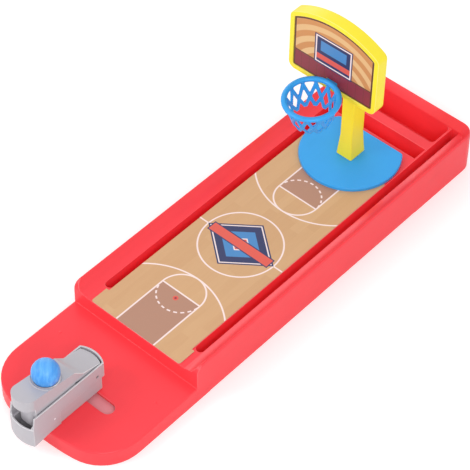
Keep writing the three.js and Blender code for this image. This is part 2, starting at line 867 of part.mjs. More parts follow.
function makeLever() {
  const dropStart = -leverDeckEnd;
  const dropEnd = dropStart + leverDropRun;
  const dropHeight = deckAt(dropStart) - leverDrop;
  const wide = sideProfile(
    [
      [-leverNear - overrun, deckAt(-leverNear - overrun)],
      [-leverNear - overrun, deckAt(-leverNear - overrun) - leverDeckThickness],
      [dropStart, deckAt(dropStart) - leverDeckThickness],
      [dropEnd, dropHeight - leverFarThickness],
      [-leverFar + overrun, leverFarHeight - leverFarThickness],
      [-leverFar + overrun, leverFarHeight - leverFarThickness / 8],
      [-leverFar, leverFarHeight],
      [dropEnd, dropHeight],
      [dropStart, deckAt(dropStart)],
    ],
    -leverHalfWidth,
    leverHalfWidth,
  ).intersect(
    prism(
      leverOutline(leverHalfWidth, leverNear, leverNearRound, leverFar, leverFarBow),
      0, 2 * leverDeckHeight,
    ),
  );
  const skirtNear = -leverNear + leverNearRound;
  const deckSolid = leverDeckThickness - leverDrop;
  const skirtSide = (shrink, under) => [
    [skirtNear + shrink, leverSkirtBottom + shrink],
    [dropStart - shrink, leverSkirtBottom + shrink],
    [dropStart - shrink, deckAt(dropStart - shrink) - under],
    [skirtNear + shrink, deckAt(skirtNear + shrink) - under],
  ];
  const skirt = sideProfile(skirtSide(0, deckSolid / 2), -leverHalfWidth, leverHalfWidth);
  const skirtX = leverHalfWidth - leverShell;
  const skirtHollow = sideProfile(skirtSide(leverShell, deckSolid), -skirtX, skirtX);
  const ledge = deckAt(-leverBodyNear) - leverDeckThickness + overrun;
  const bodySide = (shrink) => [
    [-leverBodyNear + shrink, leverBodyBottom - (shrink ? overrun : 0)],
    [-pinSetback - leverHubRadius - shrink, leverBodyBottom - (shrink ? overrun : 0)],
    [-pinSetback - leverHubRadius - shrink, dropHeight - shrink - leverDropRun / 2],
    [dropStart - shrink, deckAt(dropStart) - leverDeckThickness - (shrink ? -leverDrop : -overrun)],
    [-leverBodyNear + shrink, ledge + (shrink ? leverDrop - overrun : 0)],
  ];
  const body = sideProfile(bodySide(0), -leverBodyHalfWidth, leverBodyHalfWidth).intersect(
    prism(
      roundedRect(
        -leverBodyHalfWidth, leverBodyHalfWidth, -leverBodyNear, 0, leverBodyCorner, 5,
      ),
      0, 2 * leverDeckHeight,
    ),
  );
  const inX = leverBodyHalfWidth - leverShell;
  const hollow = sideProfile(bodySide(leverShell), -inX, inX).intersect(
    prism(
      roundedRect(-inX, inX, -leverBodyNear + leverShell, 0, leverBodyCorner - leverShell, 5),
      0, 2 * leverDeckHeight,
    ),
  );
  const hub = crossRod(
    -leverBodyHalfWidth, leverBodyHalfWidth, -pinSetback, pinHeight, leverHubRadius, 24,
  );
  const farSlope = (leverFarHeight - dropHeight) / (-leverFar - dropEnd);
  const farTop = (y) => leverFarHeight + farSlope * (y + leverFar);
  const webNear = -pinSetback - leverHubRadius;
  const webFar = -pinSetback + leverHubRadius / 2;
  const web = sideProfile(
    [
      [webNear, pinHeight],
      [webFar, pinHeight],
      [webFar, farTop(webFar) - leverFarThickness / 2],
      [webNear, farTop(webNear) - leverFarThickness / 2],
    ],
    -leverBodyHalfWidth,
    leverBodyHalfWidth,
  );

  // The cup: a dish under the deck, a raised ring on it and a round hollow for the ball
  const dishShell = ball(cupRadius + cupWall).intersect(
    sideProfile(
      [
        [-leverNear, deckAt(-leverNear) - cupWall],
        [-leverNear, 0],
        [-leverDeckEnd, 0],
        [-leverDeckEnd, deckAt(-leverDeckEnd) - cupWall],
      ],
      -leverBodyHalfWidth,
      leverBodyHalfWidth,
    ),
  );
  const ring = solid(
    new THREE.CylinderGeometry(
      cupRingRadius, cupRingRadius, cupRingHeight + cupWall, 32,
    )
      .rotateX(Math.PI / 2 - Math.atan(leverDeckSlope))
      .translate(0, -ballSetback, deckAt(-ballSetback) + (cupRingHeight - cupWall) / 2),
  );
  const seat = rod(0, -ballSetback, springSeatHeight, leverDeckHeight - cupRingWidth, springSeatRadius, 20);
  const pinHole = crossRod(
    -leverHalfWidth - overrun, leverHalfWidth + overrun, -pinSetback, pinHeight,
    pinRadius + pinGap, 16,
  );
  const hollowed = cutAll(unite([wide, skirt, body]), [skirtHollow, hollow]);
  const shell = unite([hollowed, hub, web, dishShell, seat, ring]);
  return shell.subtract(ball(cupRadius)).subtract(pinHole);
}

// A sphere about the ball's centre
function ball(radius) {
  const g = new THREE.SphereGeometry(radius, 28, 18);
  return solid(g.rotateX(Math.PI / 2).translate(0, -ballSetback, ballHeight));
}

function makePin() {
  const half = housingHalfWidth - pinEndMargin;
  return crossRod(-half, half, -pinSetback, pinHeight, pinRadius, 16);
}

function makePlate() {
  const plate = prism(
    roundedRect(
      -plateHalfLength, plateHalfLength,
      -slotSetback - plateHalfWidth, -slotSetback + plateHalfWidth, postEdgeRound, 3,
    ),
    plateBottom,
    plateTop,
  );
  return plate.subtract(rod(0, -slotSetback, 0, platformHeight, screwRadius + gap, 16));
}

function makeScrew() {
  const under = plateBottom - seatGap;
  const shank = rod(0, -slotSetback, under - screwHeadHeight / 2, plateBottom + screwLength, screwRadius, 16);
  const head = rod(0, -slotSetback, under - screwHeadHeight, under, screwHeadRadius, 24);
  return unite([shank, head]);
}

// The return spring: one unbroken coil between the housing's floor and the lever
function makeSpring() {
  const steps = 8;
  const sides = 5;
  const bottom = housingFloor + gap + springWire / 2;
  const top = springSeatHeight - gap - springWire;
  const count = springTurns * steps;
  const positions = [];
  const index = [];
  const centres = [];
  for (let i = 0; i <= count; i++) {
    const a = (i / steps) * 2 * Math.PI;
    const z = bottom + ((top - bottom) * i) / count;
    centres.push(new THREE.Vector3(springRadius * Math.cos(a), springRadius * Math.sin(a), z));
    for (let k = 0; k < sides; k++) {
      const b = (k / sides) * 2 * Math.PI;
      const r = springRadius + (springWire / 2) * Math.cos(b);
      positions.push(r * Math.cos(a), r * Math.sin(a), z + (springWire / 2) * Math.sin(b));
    }
  }
  for (let i = 0; i < count; i++) {
    for (let k = 0; k < sides; k++) {
      const a = i * sides + k;
      const b = i * sides + ((k + 1) % sides);
      index.push(a, a + sides, b + sides, a, b + sides, b);
    }
  }
  const last = count * sides;
  for (let k = 1; k + 1 < sides; k++) {
    index.push(0, k, k + 1, last, last + k + 1, last + k);
  }
  const g = new THREE.BufferGeometry();
  g.setAttribute("position", new THREE.Float32BufferAttribute(positions, 3));
  g.setIndex(index);
  let least = Infinity;
  for (let i = 0; i < centres.length; i++) {
    for (let j = i + steps / 2; j < centres.length; j++) {
      least = Math.min(least, centres[i].distanceTo(centres[j]) - springWire);
    }
  }
  console.log("least gap of the spring to itself:", least.toFixed(2), "mm");
  return solid(g.translate(0, -ballSetback, 0));
}

// The pieces, each its own mesh
const game = new THREE.Group();
const centreY = (frontReach - trayRear) / 2;

function addPiece(name, body, look) {
  const mesh = new THREE.Mesh(geometryOf(body), new THREE.MeshStandardMaterial(looks[look]));
  mesh.name = name;
  mesh.position.y = centreY;
  game.add(mesh);
}

addPiece("tray", makeTray(), "red");
addPiece("court_card", makeCourtCard(), "wood");
addPiece("stand_base", makeStandBase(), "blue");
addPiece("stand_post", makeStandPost(), "yellow");
addPiece("backboard_frame", makeBackboardFrame(), "yellow");
addPiece("backboard_card", makeBackboardCard(), "orange");
addPiece("hoop_net", makeHoop(), "blue");
addPiece("launcher_housing", makeHousing(), "grey");
addPiece("launcher_lever", makeLever(), "grey");
addPiece("pivot_pin", makePin(), "steel");
addPiece("launcher_spring", makeSpring(), "steel");
addPiece("retaining_plate", makePlate(), "grey");
addPiece("retaining_screw", makeScrew(), "steel");
addPiece("ball", ball(ballRadius), "blue");

export default game;
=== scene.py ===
"""Looks of a tabletop basketball game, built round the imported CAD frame, in metres.

The tray runs along Y with the launcher at its low end and the hoop at its high end.
"""

import logging
import math
from dataclasses import dataclass, replace
from enum import Enum
from typing import Callable, Sequence

import bmesh
import bpy
from mathutils import Matrix, Vector
from mathutils.bvhtree import BVHTree
from mathutils.geometry import delaunay_2d_cdt


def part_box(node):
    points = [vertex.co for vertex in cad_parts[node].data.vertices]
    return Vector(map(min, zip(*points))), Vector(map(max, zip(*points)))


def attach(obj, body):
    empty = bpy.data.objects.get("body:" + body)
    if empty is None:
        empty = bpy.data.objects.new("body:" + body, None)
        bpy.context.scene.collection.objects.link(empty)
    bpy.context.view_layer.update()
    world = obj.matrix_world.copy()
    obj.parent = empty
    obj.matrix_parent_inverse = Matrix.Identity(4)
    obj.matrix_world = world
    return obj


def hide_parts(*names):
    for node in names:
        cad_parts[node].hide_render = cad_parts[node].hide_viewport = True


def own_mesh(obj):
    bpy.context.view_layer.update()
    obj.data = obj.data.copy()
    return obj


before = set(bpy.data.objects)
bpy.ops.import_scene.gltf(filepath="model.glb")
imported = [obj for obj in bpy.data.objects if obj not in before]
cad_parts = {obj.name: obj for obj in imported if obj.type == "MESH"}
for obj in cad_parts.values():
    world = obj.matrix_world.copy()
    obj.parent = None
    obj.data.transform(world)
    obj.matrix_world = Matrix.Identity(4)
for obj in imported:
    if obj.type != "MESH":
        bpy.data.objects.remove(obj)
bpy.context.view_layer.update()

LOG = logging.getLogger("basketball_game")
MM = 0.001
Point = tuple[float, float, float]
Colour = tuple[float, float, float, float]
WHITE: Colour = (1.0, 1.0, 1.0, 1.0)
# A radius or a length below this counts as none.
TINY = 1e-9
# Points of the CAD meshes nearer than the first are one, and edges shorter than the second go.
WELD = 0.002 * MM
SLIVER = 0.004 * MM
# Faces across a rounding, how far in widths it may lie from the solid, and how often it is tried.
ROUNDING_STEPS = 3
ROUNDING_REACH = 0.6
ROUNDING_TRIES = 6
# Blender's number for a filling that leaves the outside empty, and its slack in millimetres.
FILL_INSIDE = 1
FILL_SLACK = 1e-5
# Where the rounded end of a swept wire has its rings, in degrees from the wire's side.
CAP_ANGLES = (75.0, 50.0, 25.0)
# The direction across the ball's ribs, in degrees from +X.
RIB_LEAN = 41.2


class Body(Enum):
    """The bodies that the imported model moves."""

    GAME = "game"
    CARRIAGE = "carriage"
    LEVER = "lever"
    BALL = "ball"


class Slot(Enum):
    """The record's material slots that the new pieces take."""

    RED = "red"
    BLUE = "blue"
    YELLOW = "yellow"
    GREY = "grey"
    STEEL = "steel"
    BALL_BLUE = "ball_blue"


class Axis(Enum):
    """The frame's axes, by their place in a vector."""

    X = 0
    Y = 1
    Z = 2


def shade(red: int, green: int, blue: int) -> Colour:
    """Turn a colour as it looks on a screen into the linear colour that a shader wants.

    Args:
        red: Red from 0 to 255.
        green: Green from 0 to 255.
        blue: Blue from 0 to 255.

    Returns:
        The linear colour with an alpha of 1.
    """

    def linear(level: int) -> float:
        """Undo the screen's curve for one channel."""
        part = level / 255
        return part / 12.92 if part <= 0.04045 else ((part + 0.055) / 1.055) ** 2.4

    return (linear(red), linear(green), linear(blue), 1.0)


# Shader expressions


class Wire:
    """An output socket that can stand in a Python expression."""

    def __init__(self, bench: "Bench", socket: bpy.types.NodeSocket) -> None:
        """Keep the socket and the bench that its nodes are made on."""
        self.bench = bench
        self.socket = socket

    @property
    def sort(self) -> str:
        """Blender's name for what the socket carries: VALUE, VECTOR or RGBA."""
        return self.socket.type

    def _with(self, operation: str, left: object, right: object) -> "Wire":
        """Join two operands with a node that suits what they carry.

        Args:
            operation: A Math node's operation.
            left: A wire, a number or a colour.
            right: A wire, a number or a colour.

        Returns:
            The result's wire.
        """
        sorts = {side.sort for side in (left, right) if isinstance(side, Wire)}
        if "RGBA" in sorts:
            settings = {"data_type": "RGBA", "blend_type": operation, "clamp_result": False}
            values = {0: 1.0, 6: _as_colour(left), 7: _as_colour(right)}
            return self.bench.wire("ShaderNodeMix", settings, values, output=2)
        if "VECTOR" in sorts:
            values = {0: _as_vector(left), 1: _as_vector(right)}
            return self.bench.wire("ShaderNodeVectorMath", {"operation": operation}, values)
        return self.bench.wire("ShaderNodeMath", {"operation": operation}, {0: left, 1: right})

    def __add__(self, other: object) -> "Wire":
        """Give self + other."""
        return self._with("ADD", self, other)

    def __radd__(self, other: object) -> "Wire":
        """Give other + self."""
        return self._with("ADD", other, self)

    def __sub__(self, other: object) -> "Wire":
        """Give self - other."""
        return self._with("SUBTRACT", self, other)

    def __rsub__(self, other: object) -> "Wire":
        """Give other - self."""
        return self._with("SUBTRACT", other, self)

    def __mul__(self, other: object) -> "Wire":
        """Give self * other."""
        return self._with("MULTIPLY", self, other)

    def __rmul__(self, other: object) -> "Wire":
        """Give other * self."""
        return self._with("MULTIPLY", other, self)

    def __truediv__(self, other: object) -> "Wire":
        """Give self / other."""
        return self._with("DIVIDE", self, other)

    def __pow__(self, other: object) -> "Wire":
        """Give self ** other, for numbers."""
        return self._with("POWER", self, other)

    def __abs__(self) -> "Wire":
        """Give the number without its sign."""
        return self.bench.wire("ShaderNodeMath", {"operation": "ABSOLUTE"}, {0: self})

    def least(self, other: object) -> "Wire":
        """Give the lower of two numbers."""
        return self._with("MINIMUM", self, other)

    def most(self, other: object) -> "Wire":
        """Give the higher of two numbers."""
        return self._with("MAXIMUM", self, other)

    def cycle(self, span: float) -> "Wire":
        """Give the number folded into one span, over and over."""
        return self._with("FLOORED_MODULO", self, span)

    def steps(self) -> "Wire":
        """Give the number rounded down."""
        return self.bench.wire("ShaderNodeMath", {"operation": "FLOOR"}, {0: self})

    def ramp(self, low: float, high: float, start: float = 0.0, end: float = 1.0) -> "Wire":
        """Go smoothly from start at low to end at high, and stay there beyond them.

        Args:
            low: The number at which the ramp starts.
            high: The number at which the ramp ends.
            start: What the ramp gives at low.
            end: What the ramp gives at high.

        Returns:
            The ramp's wire.
        """
        settings = {"interpolation_type": "SMOOTHSTEP"}
        values = {0: self, 1: low, 2: high, 3: start, 4: end}
        return self.bench.wire("ShaderNodeMapRange", settings, values)

    def inside(self, edge: float, soft: float) -> "Wire":
        """Give 1 where the number is below an edge and 0 where it is above."""
        return self.ramp(edge - soft, edge + soft, 1.0, 0.0)


def length(x: Wire, y: Wire) -> Wire:
    """Give the distance from a drawing's middle."""
    return (x * x + y * y) ** 0.5


def _as_colour(value: object) -> object:
    """Give a plain number as a grey, and anything else as it is."""
    return (value, value, value, 1.0) if isinstance(value, (int, float)) else value


def _as_vector(value: object) -> object:
    """Give a plain number as a vector, and anything else as it is."""
    return (value, value, value) if isinstance(value, (int, float)) else value


class Bench:
    """The node tree of one material, and the wires that are made on it."""

    def __init__(self, tree: bpy.types.NodeTree) -> None:
        """Clear the tree and start on it."""
        self.tree = tree
        tree.nodes.clear()

    def node(self, kind: str, settings: dict | None = None, values: dict | None = None) -> bpy.types.Node:
        """Make any node.

        Args:
            kind: The node's type.
            settings: Its properties, such as a Math node's operation, set first.
            values: Numbers, colours or wires by the input's name or index.

        Returns:
            The node.
        """
        made = self.tree.nodes.new(kind)
        for name, value in (settings or {}).items():
            setattr(made, name, value)
        for name, value in (values or {}).items():
            if isinstance(value, Wire):
                self.tree.links.new(value.socket, made.inputs[name])
            else:
                made.inputs[name].default_value = value
        return made

    def wire(self, kind: str, settings: dict | None = None, values: dict | None = None,
             output: int | str = 0) -> Wire:
        """Make a node as node() does, and give one of its outputs as a wire."""
        return Wire(self, self.node(kind, settings, values).outputs[output])

    def place(self) -> Wire:
        """Give the place on the surface, in metres in the row frame."""
        return self.wire("ShaderNodeTexCoord", output="Object")

    def parts(self, vector: Wire) -> tuple[Wire, Wire, Wire]:
        """Give a vector's three numbers."""
        split = self.node("ShaderNodeSeparateXYZ", values={0: vector})
        return tuple(Wire(self, split.outputs[i]) for i in range(3))

    def scaled(self, vector: Wire, x: float, y: float, z: float) -> Wire:
        """Give a vector scaled by its own factor along each axis."""
        return self.wire("ShaderNodeVectorMath", {"operation": "MULTIPLY"}, {0: vector, 1: (x, y, z)})

    def noise(self, vector: Wire, scale: float, detail: float = 3.0, rough: float = 0.55) -> Wire:
        """Give soft noise about 0.5, with scale counted per metre."""
        values = {"Vector": vector, "Scale": scale, "Detail": detail, "Roughness": rough}
        return self.wire("ShaderNodeTexNoise", {}, values)

    def blend(self, factor: object, first: object, second: object) -> Wire:
        """Give first where the factor is 0 and second where it is 1, as colours."""
        settings = {"data_type": "RGBA", "blend_type": "MIX"}
        return self.wire("ShaderNodeMix", settings, {0: factor, 6: first, 7: second}, output=2)

    def bump(self, height: Wire, depth: float, strength: float) -> Wire:
        """Give the normal of a surface with a height from 0 to 1 that is depth metres deep."""
        values = {"Strength": strength, "Distance": depth, "Height": height}
        return self.wire("ShaderNodeBump", {}, values)

    def output(self, surface: Wire) -> None:
        """Send a shader to the material's output."""
        self.node("ShaderNodeOutputMaterial", values={"Surface": surface})

    def plastic(self, **values: object) -> None:
        """Send a Principled shader to the output, its sockets named with _ for each space."""
        named = {name.replace("_", " "): value for name, value in values.items()}
        self.output(self.wire("ShaderNodeBsdfPrincipled", {}, named))


# Finishes


@dataclass(frozen=True)
class Finish:
    """A material that is made once and worn by any number of pieces."""

    name: str

    def paint(self, bench: Bench) -> None:
        """Build the nodes.

        Args:
            bench: The material's bench.
        """
        raise NotImplementedError

    def material(self) -> bpy.types.Material:
        """Give the material, made on its first use.

        Returns:
            The material.
        """
        known = bpy.data.materials.get(self.name)
        if known:
            return known
        made = bpy.data.materials.new(self.name)
        made.use_nodes = True
        self.paint(Bench(made.node_tree))
        return made

    def dress(self, piece: bpy.types.Object) -> None:
        """Give the material to a piece, in place of any that it had.

        Args:
            piece: The piece.
        """
        slots = piece.data.materials
        if not slots:
            slots.append(None)
        slots[0] = self.material()


@dataclass(frozen=True)
class MouldedPlastic(Finish):
    """Injection-moulded plastic with faint flow marks, a fine skin and a painted highlight: its rounded edges
    painted paler.
    """

    colour: Colour
    roughness: float = 0.32
    skin_depth: float = 0.02 * MM
    skin_scale: float = 2200.0
    scratch_scale: float = 2600.0
    flow: float = 0.05
    flow_scale: float = 38.0
    streak_ratio: float = 7.0
    streak_stretch: float = 0.18
    mottle: float = 0.12
    scuff: float = 0.06
    # How far the rounded edges are painted towards white, as a painted highlight.
    edge_highlight: float = 0.0
    polish: float = 0.06
    shine: float = 0.5

    def paint(self, bench: Bench) -> None:
        """Build the nodes.

        Args:
            bench: The material's bench.
        """
        place = bench.place()
        clouds = bench.noise(place, self.flow_scale, 4.0)
        run = bench.scaled(place, 1.0, self.streak_stretch, 1.0)
        streaks = bench.noise(run, self.flow_scale * self.streak_ratio, 3.0)
        tone = 1.0 + (clouds - 0.5) * (2 * self.flow) + (streaks - 0.5) * self.flow
        tint = bench.blend(1.0, tone, tone)
        drawn = bench.scaled(place, 1.0, 0.06, 0.4)
        scratches = bench.noise(drawn, self.scratch_scale, 2.0).ramp(0.62, 0.74)
        skin = bench.noise(place, self.skin_scale, 2.0)
        bench.plastic(
            Base_Color=tint * self.colour,
            Roughness=self.roughness + (clouds - 0.5) * self.mottle + scratches * self.scuff,
            Normal=bench.bump(skin * 0.7 + clouds * 0.3, self.skin_depth, 0.6),
            Specular_IOR_Level=self.shine,
        )

    def edge_highlight_finish(self) -> "MouldedPlastic":
        """Give the same plastic's finish for its rounded edges: smoother, and paler as a painted highlight.

        Returns:
            The edges' finish.
        """
        # The edges' colour is lifted towards white: a painted highlight.
        pale = tuple(part + (1.0 - part) * self.edge_highlight for part in self.colour[:3]) + (1.0,)
        smoother = self.roughness - self.polish
        return replace(self, name=f"{self.name}_edge", colour=pale, roughness=smoother, edge_highlight=0.0)

    def dress(self, piece: bpy.types.Object) -> None:
        """Give the material to a piece, and its kind with the painted highlight to the faces of its rounded
        edges.

        Args:
            piece: The piece, whose second material marks the rounded edges.
        """
        super().dress(piece)
        if len(piece.data.materials) > 1:
            piece.data.materials[1] = self.edge_highlight_finish().material() if self.edge_highlight else self.material()


class Board(Enum):
    """The colours that are printed on the two cards."""

    MAPLE = shade(216, 174, 129)
    MAPLE_DARK = shade(200, 152, 108)
    KEY = shade(180, 134, 112)
    LINE = shade(252, 232, 230)
    NAVY = shade(44, 52, 96)
    CORAL = shade(226, 92, 78)
    SKY = shade(72, 136, 196)
    CREAM = shade(234, 196, 140)
    AMBER = shade(208, 144, 84)
    MAROON = shade(140, 48, 62)
    BROWN = shade(92, 52, 40)
    CORE = shade(206, 196, 184)


@dataclass(frozen=True)
class Printed(Finish):
    """A printed card: inks on the face and bare board at the edges and the back."""

    facing: Axis = Axis.Z
    sense: float = 1.0
    soft: float = 0.12 * MM
    fibre_scale: float = 3200.0
    fibre_depth: float = 0.015 * MM

    def inks(self, bench: Bench, place: Wire) -> Wire:
        """Give the print's colour at a place."""
        raise NotImplementedError

    def face(self, bench: Bench) -> Wire:
        """Give 1 on the printed face and 0 elsewhere."""
        normal = bench.wire("ShaderNodeNewGeometry", output="Normal")
        return (bench.parts(normal)[self.facing.value] * self.sense).ramp(0.4, 0.6)

    def paint(self, bench: Bench) -> None:
        """Build the nodes.

        Args:
            bench: The material's bench.
        """
        place = bench.place()
        fibres = bench.noise(place, self.fibre_scale, 3.0)
        print_colour = bench.blend(self.face(bench), Board.CORE.value, self.inks(bench, place))
        grain = 1.0 + (fibres - 0.5) * 0.05
        bench.plastic(
            Base_Color=print_colour * bench.blend(1.0, grain, grain),
            Roughness=0.42 + (fibres - 0.5) * 0.1,
            Normal=bench.bump(fibres, self.fibre_depth, 0.5),
        )


@dataclass(frozen=True)
class CourtPrint(Printed):
    """Maple planks with the usual court markings, and a plain badge of stripes at the centre."""

    line: float = 0.55 * MM
    line_ink: float = 0.92
    near_y: float = -91.15 * MM
    centre_y: float = 8.33 * MM
    circle: float = 28.2 * MM
    key_half: float = 16.0 * MM
    key_length: float = 42.8 * MM
    dashes: int = 11
    dash_share: float = 0.55
    arc_radius: float = 52.0 * MM
    arc_top: float = 58.9 * MM
    arc_start: float = 42.0 * MM
    spots: tuple[tuple[float, Board], ...] = ((1.9 * MM, Board.CORAL), (0.8 * MM, Board.MAROON))
    spot_y: float = -53.6 * MM
    plank: float = 7.2 * MM
    plank_length: float = 60.0 * MM
    plank_shift: float = 90.0 * MM
    plank_tone: float = 0.35
    grain_tone: float = 0.4
    grain_scale: float = 60.0
    grain_stretch: float = 9.0
    badge_layers: tuple[tuple[float, Board], ...] = (
        (17.6 * MM, Board.NAVY), (16.6 * MM, Board.LINE), (15.8 * MM, Board.NAVY),
        (11.0 * MM, Board.SKY), (5.2 * MM, Board.LINE), (4.4 * MM, Board.CORAL),
    )
    badge_slant: tuple[float, float] = (0.62, 0.78)
    band_half: float = 3.4 * MM
    band_reach: float = 25.0 * MM
    band_rim: float = 0.8 * MM

    def stroke(self, distance: Wire) -> Wire:
        """Give 1 on a line drawn where a distance is zero."""
        return abs(distance).inside(self.line, self.soft)

    def inks(self, bench: Bench, place: Wire) -> Wire:
        """Give the print's colour at a place.

        Args:
            bench: The material's bench.
            place: The place on the card.

        Returns:
            The colour.
        """
        x, y, _ = bench.parts(place)
        key, lines = self.half_court(bench, x, y)
        centre = length(x, y - self.centre_y)
        halfway = self.stroke(y - self.centre_y)
        lines = lines.most(self.stroke(centre - self.circle)).most(halfway)
        court = bench.blend(key, self.wood(bench, place), Board.KEY.value)
        marked = bench.blend(lines * self.line_ink, court, Board.LINE.value)
        spot = length(x, y - self.spot_y)
        for size, ink in self.spots:
            marked = bench.blend(spot.inside(size, self.soft), marked, ink.value)
        return self.badge(bench, x, y - self.centre_y, marked)

    def wood(self, bench: Bench, place: Wire) -> Wire:
        """Give the colour of the planks at a place.

        Args:
            bench: The material's bench.
            place: The place on the card.

        Returns:
            The colour.
        """
        x, y, _ = bench.parts(place)
        along = bench.noise(bench.scaled(place, self.grain_stretch, 1.0, 1.0), self.grain_scale, 5.0)
        row = (x / self.plank).steps()
        shift = self.chance(bench, row)
        step = ((y + shift * self.plank_shift) / self.plank_length).steps()
        tone = self.chance(bench, row * 7.3 + step * 1.7)
        mix = tone * self.plank_tone + along * self.grain_tone
        return bench.blend(mix, Board.MAPLE.value, Board.MAPLE_DARK.value)

    @staticmethod
    def chance(bench: Bench, seed: Wire) -> Wire:
        """Give a number from 0 to 1 that jumps from one seed to the next."""
        return bench.wire("ShaderNodeTexWhiteNoise", {"noise_dimensions": "1D"}, {"W": seed})

    def half_court(self, bench: Bench, x: Wire, y: Wire) -> tuple[Wire, Wire]:
        """Draw one half of the court, which the other half repeats.

        Args:
            bench: The material's bench.
            x: Across the court.
            y: Along the court.

        Returns:
            The key's area and all the lines, each 1 where it is drawn.
        """
        fold = abs(y - self.centre_y)
        end = self.centre_y - self.near_y
        up = end - fold
        key_side = abs(x) - self.key_half
        key_end = up - self.key_length
        in_key = key_side.inside(0.0, self.soft) * key_end.inside(0.0, self.soft)
        side_line = self.stroke(key_side) * key_end.inside(self.line, self.soft)
        free_line = self.stroke(key_end) * key_side.inside(self.line, self.soft)
        ring = length(x, key_end)
        outer = self.stroke(ring - self.key_half) * key_end.ramp(-self.soft, self.soft)
        turn = bench.wire("ShaderNodeMath", {"operation": "ARCTAN2"}, {0: key_end, 1: x})
        broken = (turn * (self.dashes / math.pi)).cycle(1.0).inside(self.dash_share, 0.03)
        inner = self.stroke(ring - self.key_half) * key_end.inside(0.0, self.soft) * broken
        arc = length(x, up - (self.arc_top - self.arc_radius))
        three = self.stroke(arc - self.arc_radius) * (up - self.arc_start).ramp(-self.soft, self.soft)
        lines = side_line.most(free_line).most(outer).most(inner).most(three)
        return in_key, lines

    def badge(self, bench: Bench, x: Wire, y: Wire, under: Wire) -> Wire:
        """Lay a lozenge of plain stripes over the centre circle.

        Args:
            bench: The material's bench.
            x: Across the court from its centre.
            y: Along the court from its centre.
            under: The colour below.

        Returns:
            The colour with the badge on it.
        """
        slant_x, slant_y = self.badge_slant
        lozenge = abs(x) * slant_x + abs(y) * slant_y
        colour = under
        for size, ink in self.badge_layers:
            colour = bench.blend(lozenge.inside(size, self.soft), colour, ink.value)
        for rim, ink in ((self.band_rim, Board.NAVY), (0.0, Board.CORAL)):
            across = abs(y).inside(self.band_half + rim, self.soft)
            along = abs(x).inside(self.band_reach + rim, self.soft)
            colour = bench.blend(across * along, colour, ink.value)
        return colour


@dataclass(frozen=True)
class PanelPrint(Printed):
    """The backboard's card: a brown border, rings of amber above a maroon floor, a target square."""

    facing: Axis = Axis.Y
    sense: float = -1.0
    middle_z: float = 0.0
    half_width: float = 32.2 * MM
    half_height: float = 24.6 * MM
    arch_radius: float = 62.1 * MM
    border: float = 1.3 * MM
    ring_width: float = 4.2 * MM
    ring_drop: float = 6.0 * MM
    glow_from: float = 10.0 * MM
    glow_to: float = 55.0 * MM
    floor_height: float = 13.5 * MM
    floor_board: float = 6.4 * MM
    seam_height: float = 14.0 * MM
    seam_half: float = 0.5 * MM
    boxes: tuple[tuple[float, float, float, Board], ...] = (
        (25.0 * MM, 15.5 * MM, 12.0 * MM, Board.NAVY),
        (25.0 * MM, 14.6 * MM, 11.1 * MM, Board.LINE),
        (25.0 * MM, 13.6 * MM, 10.1 * MM, Board.NAVY),
        (19.2 * MM, 13.6 * MM, 2.2 * MM, Board.CORAL),
        (28.5 * MM, 10.5 * MM, 4.2 * MM, Board.SKY),
    )

    def inks(self, bench: Bench, place: Wire) -> Wire:
        """Give the print's colour at a place.

        Args:
            bench: The material's bench.
            place: The place on the card.

        Returns:
            The colour.
        """
        x, _, z = bench.parts(place)
        height = z - (self.middle_z - self.half_height)
        reach = length(x, height + self.ring_drop)
        rings = (reach / self.ring_width).cycle(2.0).inside(1.0, 0.05)
        field = bench.blend(rings, Board.CREAM.value, Board.AMBER.value)
        glow = reach.ramp(self.glow_from, self.glow_to)
        field = bench.blend(glow * 0.25, field, Board.AMBER.value)
        floor = height.inside(self.floor_height, self.soft)
        field = bench.blend(floor, field, Board.MAROON.value)
        seam = abs(height - self.seam_height).inside(self.seam_half, self.soft)
        field = bench.blend(seam, field, Board.BROWN.value)
        board = (x / self.floor_board).cycle(1.0) - 0.5
        gaps = (0.5 - abs(board)).inside(0.05, 0.02) * floor
        field = bench.blend(gaps * 0.35, field, Board.BROWN.value)
        for middle, wide, tall, ink in self.boxes:
            box = abs(x).inside(wide, self.soft) * abs(height - middle).inside(tall, self.soft)
            field = bench.blend(box, field, ink.value)
        return bench.blend(self.rim(x, z), field, Board.BROWN.value)

    def rim(self, x: Wire, z: Wire) -> Wire:
        """Draw the dark border that follows the card's outline.

        Args:
            x: Across the card.
            z: Up the card.

        Returns:
            1 on the border and 0 elsewhere.
        """
        sides = (self.half_width - self.border) - abs(x)
        low = z - (self.middle_z - self.half_height + self.border)
        arch = self.middle_z + self.half_height - self.arch_radius
        top = (self.arch_radius - self.border) - length(x, z - arch)
        return sides.least(low).least(top).ramp(-self.soft, self.soft, 1.0, 0.0)


@dataclass(frozen=True)
class BrightSteel(Finish):
    """Drawn or turned steel with fine lines and a light film of oil."""

    colour: Colour = shade(196, 197, 200)
    roughness: float = 0.28
    oil: Colour = shade(150, 146, 140)
    line_scale: float = 900.0
    line_stretch: float = 9.0
    line_depth: float = 0.01 * MM
    film_scale: float = 160.0

    def paint(self, bench: Bench) -> None:
        """Build the nodes.

        Args:
            bench: The material's bench.
        """
        place = bench.place()
        lines = bench.noise(bench.scaled(place, 1.0, 1.0, self.line_stretch), self.line_scale, 3.0)
        film = bench.noise(place, self.film_scale, 3.0)
        bench.plastic(
            Base_Color=bench.blend(film.ramp(0.45, 0.8) * 0.3, self.colour, self.oil),
            Metallic=1.0,
            Roughness=self.roughness + (film - 0.5) * 0.2,
            Normal=bench.bump(lines, self.line_depth, 0.5),
        )


